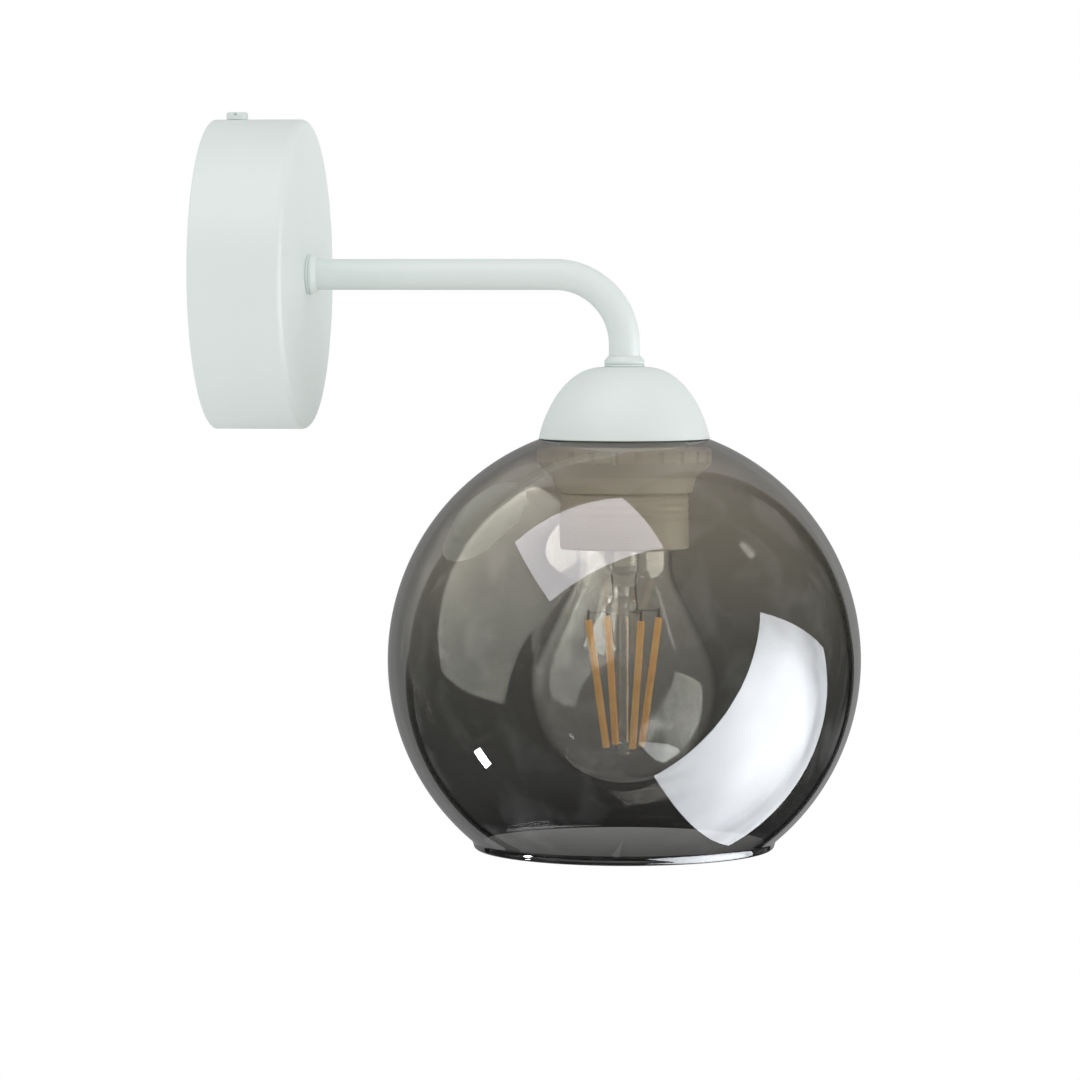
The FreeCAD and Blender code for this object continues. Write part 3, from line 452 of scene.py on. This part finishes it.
smoked, tree, glass = new_finish("smoked glass", Roughness=0.0, IOR=1.5, Transmission_Weight=1.0)
place = add_node(tree, "TexCoord").outputs["Object"]
height = add_node(tree, "SeparateXYZ", {"Vector": place}).outputs["Z"]
drift = add_node(tree, "TexNoise", {"Vector": place, "Scale": 9.0, "Detail": 2.0}).outputs[0]
uneven = add_node(tree, "Math", {0: drift, 1: 0.008, 2: height},
                  operation="MULTIPLY_ADD").outputs[0]
SMOKE = [(0.00, (0.050, 0.050, 0.049)), (0.12, (0.180, 0.179, 0.174)),
         (0.33, (0.210, 0.209, 0.195)), (0.45, (0.240, 0.238, 0.220)),
         (0.60, (0.335, 0.326, 0.295)), (0.76, (0.405, 0.388, 0.345)),
         (0.93, (0.500, 0.474, 0.430))]
smoke = ramp(tree, spread(tree, uneven, 0.0, 1.0, SMOKE_FOOT, SMOKE_TOP), SMOKE)
facing = add_node(tree, "LayerWeight", {"Blend": 0.5}).outputs["Facing"]
edge = spread(tree, facing, 0.0, 0.75, 0.55, 1.0)
feed(tree, glass["Base Color"], between(tree, edge, smoke, (0.02, 0.021, 0.022, 1.0)))
globe = outward(turned("smoked_globe", globe_line, smoked, slices=240))
stand_for(globe, "glass", "smoked_glass", "glass_globe")


# ---- Shade ring ----
# Moulded in the holder's white plastic, with finger notches round its rim. It screws on the skirt
# from below and carries the glass.

dress(holder_white, "shade_ring")


# ---- Bulb base ----
# Nickel-plated cap with a rolled E27 thread, a black glass cone, a soldered centre contact, and the
# small driver board that stands in the hollow of the cap.

BULB_Z = -58.0
CAP_R = 13.1
CAP_SKIN = 0.35
CAP_TOP = BULB_Z - 4.4
CAP_FOOT = BULB_Z - 26.2
E27_PITCH = 3.629
E27_DEPTH = 0.85
nickel = plated("nickel plating", (0.84, 0.82, 0.78, 1.0), (0.66, 0.64, 0.60, 1.0), 0.16, 0.34)
solder = plated("solder", (0.70, 0.70, 0.70, 1.0), (0.45, 0.45, 0.46, 1.0), 0.38, 0.60)
black_glass = moulded("black glass", (0.012, 0.012, 0.014, 1.0), (0.006, 0.006, 0.007, 1.0))
dress(solder, "bulb_contact")
dress(black_glass, "bulb_insulator")

roll_top = CAP_TOP - 2.6
roll_foot = CAP_FOOT + 4.2
ROLL_ROWS = 60
roll = [(CAP_R, roll_top + (roll_foot - roll_top) * k / ROLL_ROWS, 0)
        for k in range(ROLL_ROWS + 1)]
outer_skin = bent([(11.3, CAP_TOP, 0), (CAP_R, CAP_TOP - 2.1, 0.8)] + roll
                  + [(CAP_R, CAP_FOOT + 2.6, 1.0), (13.8, CAP_FOOT, 0)])
cap_line = outer_skin + [Vector((r - CAP_SKIN, z)) for r, z in reversed(outer_skin)]
cap = turned("bulb_screw_cap", cap_line, nickel, slices=120,
             cut=thread_cut(E27_PITCH, E27_DEPTH, roll_top + 0.6, roll_foot), cut_from=CAP_R - 0.6)
stand_for(outward(cap), "bulb", "cap_nickel", "bulb_cap")


def box(name, low, high, finish):
    """A block between two corners in mm, with softened edges."""
    spans = list(zip(low, high))
    corners = [(x * MM, y * MM, z * MM) for x in spans[0] for y in spans[1] for z in spans[2]]
    sides = [(0, 1, 3, 2), (4, 6, 7, 5), (0, 4, 5, 1), (2, 3, 7, 6), (0, 2, 6, 4), (1, 5, 7, 3)]
    made = piece(name, corners, sides, finish, smooth=False)
    soft = made.modifiers.new("soft edges", "BEVEL")
    soft.width = 0.15 * MM
    soft.segments = 2
    return made


board_green = moulded("board green", (0.03, 0.20, 0.09, 1.0), (0.02, 0.14, 0.06, 1.0))
can_sleeve = moulded("capacitor sleeve", (0.03, 0.03, 0.05, 1.0), (0.02, 0.02, 0.03, 1.0))
board = box("driver_board", (-11.6, SHADE_Y - 0.5, -79.4), (11.6, SHADE_Y + 0.5, -67.4),
            board_green)
stand_for(board, "bulb", "board_green", "bulb_driver")
for number, (x, z) in enumerate(((-8.0, -70.5), (-8.0, -74.5), (7.5, -71.0), (7.5, -75.5))):
    part = box(f"driver_part_{number}", (x - 1.5, SHADE_Y - 2.0, z - 1.1),
               (x + 1.5, SHADE_Y - 0.5, z + 1.1), can_sleeve)
    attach(part, "bulb")


# ---- Bulb envelope ----
# Clear blown glass of a 60 mm pear bulb: neck, cone and ball, 0.8 mm thick. It is a little hazy,
# and that haze is drawn as a painted glow, lightest where the glass faces the eye; its edges are
# darker.

BULB_BALL_R = 30.1
BULB_BALL_Z = BULB_Z - 106.0 + BULB_BALL_R
CONE_ANGLE = math.radians(26)
NECK_R = 15.3
ENVELOPE_WALL = 0.8
BALL_ROWS = 40


def envelope_skin(inset):
    """One skin of the envelope, from inside the cap down to the tip."""
    ball = BULB_BALL_R - inset
    join = Vector((ball * math.cos(CONE_ANGLE), BULB_BALL_Z + ball * math.sin(CONE_ANGLE)))
    neck = NECK_R - inset
    neck_z = join.y + (join.x - neck) / math.tan(CONE_ANGLE)
    upper = bent([(12.6 - inset, -80.0, 0), (12.6 - inset, -84.2, 2.0), (neck, -87.7, 4.0),
                  (neck, neck_z, 16.0 + inset), (join.x, join.y, 0)])
    arc = CONE_ANGLE + math.pi / 2
    sweep = [CONE_ANGLE - arc * k / BALL_ROWS for k in range(1, BALL_ROWS)]
    lower = [Vector((ball * math.cos(a), BULB_BALL_Z + ball * math.sin(a))) for a in sweep]
    return upper + lower + [Vector((0.0, BULB_BALL_Z - ball))]


# Painted glow: the glass gives off a faint light, strongest where it faces the eye, weak at its
# edges.
clear_glass, tree, glass = new_finish("clear glass", Roughness=0.0, IOR=1.5,
                                      Transmission_Weight=1.0, Emission_Strength=0.065)
facing = add_node(tree, "LayerWeight", {"Blend": 0.5}).outputs["Facing"]
feed(tree, glass["Base Color"], between(tree, spread(tree, facing, 0.0, 1.0, 0.72, 1.0),
                                        (0.97, 0.975, 0.965, 1.0), (0.20, 0.21, 0.20, 1.0)))
feed(tree, glass["Emission Color"], between(tree, spread(tree, facing, 0.0, 1.0, 0.60, 0.95),
                                            (1.0, 0.97, 0.93, 1.0), (0.10, 0.10, 0.10, 1.0)))
envelope = turned("bulb_glass", envelope_skin(0.0) + envelope_skin(ENVELOPE_WALL)[::-1],
                  clear_glass, slices=160)
stand_for(outward(envelope), "bulb", "clear_glass", "bulb_envelope")


# ---- Bulb stem ----
# A flared glass tube, fused to the neck and pinched flat over the two lead wires. Under the pinch
# are a button and a thin rod that ends in a bead, all of clear glass.

STEM_R = 4.8
STEM_BORE = 3.8
PINCH_TOP = -93.5
PINCH_FOOT = -100.4
BUTTON_TOP = -104.0
BUTTON_FOOT = -109.6
ROD_R = 1.6
BEAD_R = 2.2
BEAD_Z = -153.0
stem_line = bent([(11.5, -82.0, 0.3), (11.5, -82.9, 0.3), (STEM_R, -87.5, 3.0),
                  (STEM_R, PINCH_TOP - 2.0, 2.2), (1.5, PINCH_TOP - 3.4, 0),
                  (0, PINCH_TOP - 3.4, 0)])
stem_bore = bent([(0, PINCH_TOP - 1.0, 0), (2.4, PINCH_TOP - 1.0, 1.0), (STEM_BORE, PINCH_TOP, 0.8),
                  (STEM_BORE, -86.6, 3.0), (10.4, -82.0, 0)])
tube = outward(turned("bulb_stem_tube", stem_line + stem_bore, clear_glass, slices=96))
stand_for(tube, "bulb", "clear_glass", "bulb_stem")

rod_line = bent([(0, PINCH_FOOT, 0), (ROD_R, PINCH_FOOT, 0.4), (ROD_R, BUTTON_TOP, 0.5),
                 (4.4, BUTTON_TOP - 0.8, 1.2), (4.4, BUTTON_FOOT + 1.2, 1.2),
                 (ROD_R, BUTTON_FOOT, 0.6), (ROD_R, BEAD_Z + 2.2, 0.5), (BEAD_R, BEAD_Z + 1.2, 0.8),
                 (BEAD_R, BEAD_Z - 1.2, 1.0), (0, BEAD_Z - BEAD_R, 0)])
rod = outward(turned("bulb_stem_rod", rod_line, clear_glass, slices=64))
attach(rod, "bulb")


def pinch_section(z, half_width, half_thick, count=40):
    """A flattened ring of points, wide along the wall."""
    ring = []
    for k in range(count):
        a = math.tau * k / count
        x = half_thick * math.copysign(abs(math.cos(a)) ** 0.7, math.cos(a))
        y = half_width * math.copysign(abs(math.sin(a)) ** 0.7, math.sin(a))
        ring.append((x * MM, (SHADE_Y + y) * MM, z * MM))
    return ring


levels = [(PINCH_TOP - 2.2, 1.2, 0.6), (PINCH_TOP - 2.6, 4.0, 1.9), (PINCH_TOP - 3.4, 4.6, 1.8),
          (-98.6, 4.7, 1.5), (PINCH_FOOT + 0.5, 4.6, 1.5), (PINCH_FOOT, 4.0, 1.1),
          (PINCH_FOOT - 0.2, 1.4, 0.5)]
rings = [pinch_section(z, w, t) for z, w, t in levels]
count = len(rings[0])
faces = [(i * count + k, i * count + (k + 1) % count, (i + 1) * count + (k + 1) % count,
          (i + 1) * count + k) for i in range(len(rings) - 1) for k in range(count)]
faces += [tuple(range(count)), tuple(range((len(rings) - 1) * count, len(rings) * count))]
pinch = outward(piece("bulb_stem_pinch", [p for ring in rings for p in ring], faces, clear_glass))
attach(pinch, "bulb")


# ---- Lead and support wires ----
# Two dark nickel-steel leads come out of the pinch. Thin wires run from the button to each
# filament, where they are welded to its end tab, and from the feet of the filaments to the bead.

FILAMENT_TURN = 31.5
FILAMENT_TOP = -110.8
FILAMENT_FOOT = -152.2
TOP_REACH = 12.6
FOOT_REACH = 6.3
KNEE_Z = FILAMENT_TOP + 2.2


def around(reach, degrees, z):
    """A point at a distance and a bearing from the shade's axis."""
    a = math.radians(degrees)
    return Vector((reach * math.cos(a), SHADE_Y + reach * math.sin(a), z))


def wire(name, runs, thickness, finish):
    """Round wires, one for each run of points in mm."""
    curve = bpy.data.curves.new(name, "CURVE")
    curve.dimensions = "3D"
    curve.bevel_depth = thickness / 2 * MM
    curve.bevel_resolution = 4
    curve.use_fill_caps = True
    for run in runs:
        line = curve.splines.new("POLY")
        line.points.add(len(run) - 1)
        for point, place in zip(line.points, run):
            point.co = (*(place * MM), 1.0)
    curve.materials.append(finish)
    made = bpy.data.objects.new(name, curve)
    bpy.context.scene.collection.objects.link(made)
    return made


dark_wire = plated("dark lead wire", (0.16, 0.15, 0.14, 1.0), (0.08, 0.075, 0.07, 1.0), 0.30, 0.45)
bearings = [FILAMENT_TURN + 90 * i for i in range(4)]
runs = []
for bearing in bearings:
    top = around(TOP_REACH, bearing, KNEE_Z)
    runs.append([around(3.9, bearing, KNEE_Z + 0.3), around(8.0, bearing, KNEE_Z + 0.2), top])
    foot = around(FOOT_REACH, bearing, FILAMENT_FOOT - 0.9)
    runs.append([foot + Vector((0, 0, 0.9)), foot, around(BEAD_R - 0.3, bearing, BEAD_Z - 0.2)])
supports = wire("support_wires", runs, 0.45, dark_wire)
stand_for(supports, "bulb", "support_steel", "bulb_support_wires")

leads = []
for side in (-1, 1):
    y = SHADE_Y + side * 3.7
    leads.append([Vector((0, y, -88.0)), Vector((0, y, -96.0)), Vector((0, y, PINCH_FOOT - 1.0)),
                  Vector((-0.5, y - 0.3, -104.5)), Vector((-1.5, y + side * 0.7, -106.5)),
                  Vector((-2.6, y + side * 0.4, KNEE_Z + 0.2)), Vector((-3.4, y, KNEE_Z + 0.3))])
lead_pair = wire("lead_wires", leads, 0.65, dark_wire)
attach(lead_pair, "bulb")

tabs = wire("filament_end_tabs",
            [[around(TOP_REACH, b, KNEE_Z + 0.9), around(TOP_REACH, b, FILAMENT_TOP - 0.3)]
             for b in bearings], 0.95, dark_wire)
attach(tabs, "bulb")


# ---- Filaments ----
# Four LED sticks that lean in towards the foot. Each is a thin strip in an amber phosphor coat,
# its tone drifting a little at random, and a painted glow lightens it though the bulb is not lit.

AMBER = (0.95, 0.58, 0.22, 1.0)
AMBER_DEEP = (0.86, 0.45, 0.13, 1.0)
# Painted glow: the coat gives off a faint light in its own tone.
amber, tree, coat = new_finish("amber phosphor", Roughness=0.45, Subsurface_Weight=0.3,
                               Subsurface_Scale=0.001, Emission_Strength=0.75)
look = use_effect(tree, grain, Grain_Scale=600.0, Cloud_Scale=160.0)
tone = between(tree, look["Cloud"], AMBER_DEEP, AMBER)
feed(tree, coat["Base Color"], tone)
feed(tree, coat["Emission Color"], tone)
feed(tree, coat["Normal"], bumps(tree, look["Height"], 0.00004))

STICK_R = 1.15
STICK_SIDES = 16
vertices = []
faces = []
for bearing in bearings:
    top = around(TOP_REACH, bearing, FILAMENT_TOP)
    foot = around(FOOT_REACH, bearing, FILAMENT_FOOT)
    lean = (foot - top).to_track_quat("Z", "Y")
    length = (foot - top).length
    profile = [(0.45, 0.0), (0.85, 0.12), (1.0, 0.5), (1.0, 1.2)]
    profile += [(1.0, 1.2 + (length - 2.4) * k / 24) for k in range(1, 24)]
    profile += [(1.0, length - 1.2), (1.0, length - 0.5), (0.85, length - 0.12), (0.45, length)]
    first = len(vertices)
    for scale, s in profile:
        for k in range(STICK_SIDES):
            a = math.tau * k / STICK_SIDES
            spot = lean @ Vector((STICK_R * scale * math.cos(a), STICK_R * scale * math.sin(a), s))
            vertices.append((top + spot) * MM)
    for row in range(first, len(vertices) - STICK_SIDES, STICK_SIDES):
        below = row + STICK_SIDES
        for k in range(STICK_SIDES):
            beside = (k + 1) % STICK_SIDES
            faces.append((row + k, row + beside, below + beside, below + k))
    faces.append(tuple(range(first, first + STICK_SIDES)))
    faces.append(tuple(range(len(vertices) - STICK_SIDES, len(vertices))))
sticks = outward(piece("filament_sticks", vertices, faces, amber))
stand_for(sticks, "bulb", "amber_phosphor", "bulb_filaments")


# ---- Studio: world, floor, lamps and camera ----
# White paper behind the light and a pale floor far below it. The glass mirrors a cloudy grey room,
# two large soft boxes and one small lamp. The world draws what the ball's far side mirrors of them.

LILAC = (0.92, 0.95, 1.0)
PALE_LILAC = (0.93, 0.90, 1.0)
WHITE = (1.0, 1.0, 1.0)


def facing_globe(centre, across, outwards):
    """A lamp's own axes: x along across, and its light along its own -z, towards the globe."""
    z = Vector(outwards).normalized()
    y = z.cross(Vector(across)).normalized()
    return y.cross(z), y, z


def soft_box(name, centre, across, outwards, width, height, radiance, colour, glossy_only=True):
    """An area lamp that faces the globe, for gloss alone or for dull surfaces alone."""
    lamp = bpy.data.lights.new(name, "AREA")
    lamp.shape = "RECTANGLE"
    lamp.size = width
    lamp.size_y = height
    lamp.energy = radiance * 4 * width * height
    lamp.color = colour
    made = bpy.data.objects.new(name, lamp)
    axes = facing_globe(centre, across, outwards)
    made.matrix_world = Matrix.Translation(centre) @ Matrix(axes).transposed().to_4x4()
    made.visible_camera = False
    made.visible_transmission = False
    made.visible_diffuse = not glossy_only
    made.visible_glossy = glossy_only
    bpy.context.scene.collection.objects.link(made)
    return lamp


# Each lamp's centre, the direction of its width, the direction from the globe to it, and its size.
RIGHT_BOX = ((0.248, -1.265, -0.434), (0.904, -0.220, -0.367), (-0.418, -0.634, -0.650),
             1.512, 1.955)
UPPER_BOX = ((-0.342, 0.066, 0.747), (0.130, -0.819, 0.558), (-0.798, 0.248, 0.549), 0.909, 0.710)
SMALL_LAMP = ((-0.185, 0.866, -0.829), (-1.0, 0.007, 0.024), (-0.002, 0.929, -0.369), 0.102, 0.146)
right_box = soft_box("right soft box", *RIGHT_BOX, 12.5, LILAC)
soft_box("upper soft box", *UPPER_BOX, 5.8, PALE_LILAC)
soft_box("small lamp", *SMALL_LAMP, 120.0, WHITE)
soft_box("front fill", (-0.6, -1.6, 0.1), (0.93, -0.35, 0.0), (-0.35, -0.93, 0.05), 1.6, 1.6, 0.3,
         WHITE, glossy_only=False)

# The right box is brightest left of its middle, and a little uneven.
BRIGHT_SPOT = (0.28, 0.42, 0.0)
right_box.use_nodes = True
tree = right_box.node_tree
place = add_node(tree, "NewGeometry").outputs["Position"]
shares = []
for axis, size in zip(facing_globe(*RIGHT_BOX[:3]), RIGHT_BOX[3:]):
    along = add_node(tree, "VectorMath", {0: place, 1: tuple(axis)}, operation="DOT_PRODUCT")
    start = 0.5 - Vector(RIGHT_BOX[0]).dot(axis) / size
    shares.append(add_node(tree, "Math", {0: along.outputs["Value"], 1: 1 / size, 2: start},
                           operation="MULTIPLY_ADD").outputs[0])
spot = add_node(tree, "CombineXYZ", {"X": shares[0], "Y": shares[1]}).outputs["Vector"]
middle = add_node(tree, "VectorMath", {0: spot, 1: BRIGHT_SPOT}, operation="DISTANCE")
uneven = add_node(tree, "TexNoise", {"Vector": spot, "Scale": 3.5, "Detail": 2.0}).outputs[0]
glow = add_node(tree, "MapRange", {"Value": middle.outputs["Value"], "From Min": 0.05,
                                   "From Max": 0.55, "To Min": 1.0, "To Max": 0.0},
                interpolation_type="SMOOTHSTEP").outputs["Result"]
base = add_node(tree, "Math", {0: spread(tree, uneven, -0.10, 0.10, 0.3, 0.7),
                               1: spread(tree, shares[0], 0.74, 0.40)}, operation="ADD").outputs[0]
level = add_node(tree, "Math", {0: glow, 1: 0.72, 2: base}, operation="MULTIPLY_ADD").outputs[0]
feed(tree, tree.nodes["Emission"].inputs["Strength"], level)

world = bpy.data.worlds.new("studio")
bpy.context.scene.world = world
world.use_nodes = True
tree = world.node_tree
direction = add_node(tree, "TexCoord").outputs["Generated"]


def figure(operation, *values):
    """The result of one sum in the world's nodes."""
    return add_node(tree, "Math", dict(enumerate(values)), operation=operation).outputs[0]


def towards(axis):
    """How far a direction goes along an axis."""
    return add_node(tree, "VectorMath", {0: direction, 1: tuple(axis)},
                    operation="DOT_PRODUCT").outputs["Value"]


def lamp_in_sight(viewpoint, centre, across, outwards, width, height):
    """1 in the directions from a place in the globe that run into a lamp."""
    x, y, z = facing_globe(centre, across, outwards)
    offset = Vector(centre) - Vector(viewpoint)
    ahead = towards(z)
    reach = figure("DIVIDE", offset.dot(z), ahead)
    seen = figure("GREATER_THAN", ahead, 0.0)
    for axis, size in ((x, width), (y, height)):
        off = figure("MULTIPLY_ADD", towards(axis), reach, -offset.dot(axis))
        seen = figure("MULTIPLY", seen, figure("LESS_THAN", figure("ABSOLUTE", off), size / 2))
    return seen


AMBIENT = (0.90, 0.90, 0.90, 1.0)
THROUGH_GLASS = (2.7, 2.65, 2.55, 1.0)
PAPER = (1.0, 1.0, 1.0, 1.0)
AHEAD = (0.9926, 0.1217, 0.0)
LEFT = (-0.1217, 0.9926, 0.0)
heading = figure("ARCTAN2", towards(LEFT), towards(AHEAD))
below = figure("MULTIPLY", figure("MAXIMUM", towards((0.0, 0.0, -1.0)), 0.0), math.radians(40))
turn = figure("ADD", figure("ABSOLUTE", figure("SUBTRACT", heading, math.radians(8))), below)

# The room's grey levels by how many degrees a direction turns away from straight ahead.
ROOM = ((0.0, 0.30), (20.0, 0.34), (42.0, 0.50), (43.5, 0.02), (51.0, 0.02), (56.0, 0.10),
        (180.0, 0.10))
CLOUDS = (0.55, 0.55, 0.56, 1.0)
room = ramp(tree, spread(tree, turn, 0.0, 1.0, 0.0, math.pi),
            [(degrees / 180, (level, level, level)) for degrees, level in ROOM])
cloud = add_node(tree, "TexNoise", {"Vector": direction, "Scale": 2.6, "Detail": 3.0,
                                    "Distortion": 0.6}).outputs[0]
cloudy = figure("MULTIPLY", spread(tree, cloud, 0.0, 1.0, 0.50, 0.74),
                figure("GREATER_THAN", turn, math.radians(52)))
room = between(tree, cloudy, room, CLOUDS)

# Lamps mirrored in the far side of the globe or in the bulb, and where the mirrored rays leave.
FAR_LEFT = (0.045, -0.180, -0.150)
FAR_RIGHT = (0.0511, -0.0908, -0.1615)
BULB_MIDDLE = (0.0, -0.133, -0.10)
SMALL_FAR = ((0.010, 0.800, -0.964), *SMALL_LAMP[1:])
FAR_SIDE_CROSSINGS = 3.0
mirrored = room
rays = add_node(tree, "LightPath").outputs
far_side = figure("GREATER_THAN", rays["Transmission Depth"], FAR_SIDE_CROSSINGS)
for viewpoint, lamp, level in ((FAR_LEFT, RIGHT_BOX, 38.0), (BULB_MIDDLE, UPPER_BOX, 16.0),
                               (FAR_RIGHT, SMALL_FAR, 600.0)):
    shown = figure("MULTIPLY", far_side, lamp_in_sight(viewpoint, *lamp))
    mirrored = between(tree, shown, mirrored, (*(level * share for share in LILAC), 1.0))
surround = between(tree, rays["Is Glossy Ray"], AMBIENT, room)
through = between(tree, figure("GREATER_THAN", rays["Glossy Depth"], 0.5), PAPER, mirrored)
through = between(tree, figure("GREATER_THAN", rays["Diffuse Depth"], 0.5), through, THROUGH_GLASS)
surround = between(tree, rays["Is Transmission Ray"], surround, through)
feed(tree, tree.nodes["Background"].inputs["Color"],
     between(tree, rays["Is Camera Ray"], surround, PAPER))

FLOOR_Z = -1.65
FLOOR_R = 2.4
FLOOR_SIDES = 96
floor_finish, tree, ground = new_finish("pale floor", Base_Color=(0.85, 0.85, 0.85, 1.0),
                                        Roughness=0.9, Emission_Color=(1.0, 1.0, 1.0, 1.0))
rays = add_node(tree, "LightPath").outputs
feed(tree, ground["Emission Strength"], spread(tree, rays["Is Camera Ray"], 0.15, 0.24))
rim = [(FLOOR_R * math.cos(math.tau * k / FLOOR_SIDES),
        FLOOR_R * math.sin(math.tau * k / FLOOR_SIDES), FLOOR_Z) for k in range(FLOOR_SIDES)]
floor = piece("floor", rim, [tuple(range(FLOOR_SIDES))], floor_finish, smooth=False)
floor.visible_glossy = False
floor.visible_transmission = False

CAMERA_PLACE = (-1.4724, -0.2862, 0.0)
CAMERA_HEADING = math.radians(6.99)
CAMERA_PITCH = math.radians(-3.3)
view = Vector((math.cos(CAMERA_PITCH) * math.cos(CAMERA_HEADING),
               math.cos(CAMERA_PITCH) * math.sin(CAMERA_HEADING), math.sin(CAMERA_PITCH)))
side = view.cross(Vector((0, 0, 1))).normalized()
camera = bpy.data.objects.new("camera", bpy.data.cameras.new("camera"))
camera.data.lens = 153.5
camera.data.sensor_width = 36.0
camera.data.clip_end = 50.0
camera.matrix_world = (Matrix.Translation(CAMERA_PLACE)
                       @ Matrix((side, side.cross(view), -view)).transposed().to_4x4())
bpy.context.scene.collection.objects.link(camera)
bpy.context.scene.camera = camera
bpy.context.scene.view_settings.view_transform = "Standard"
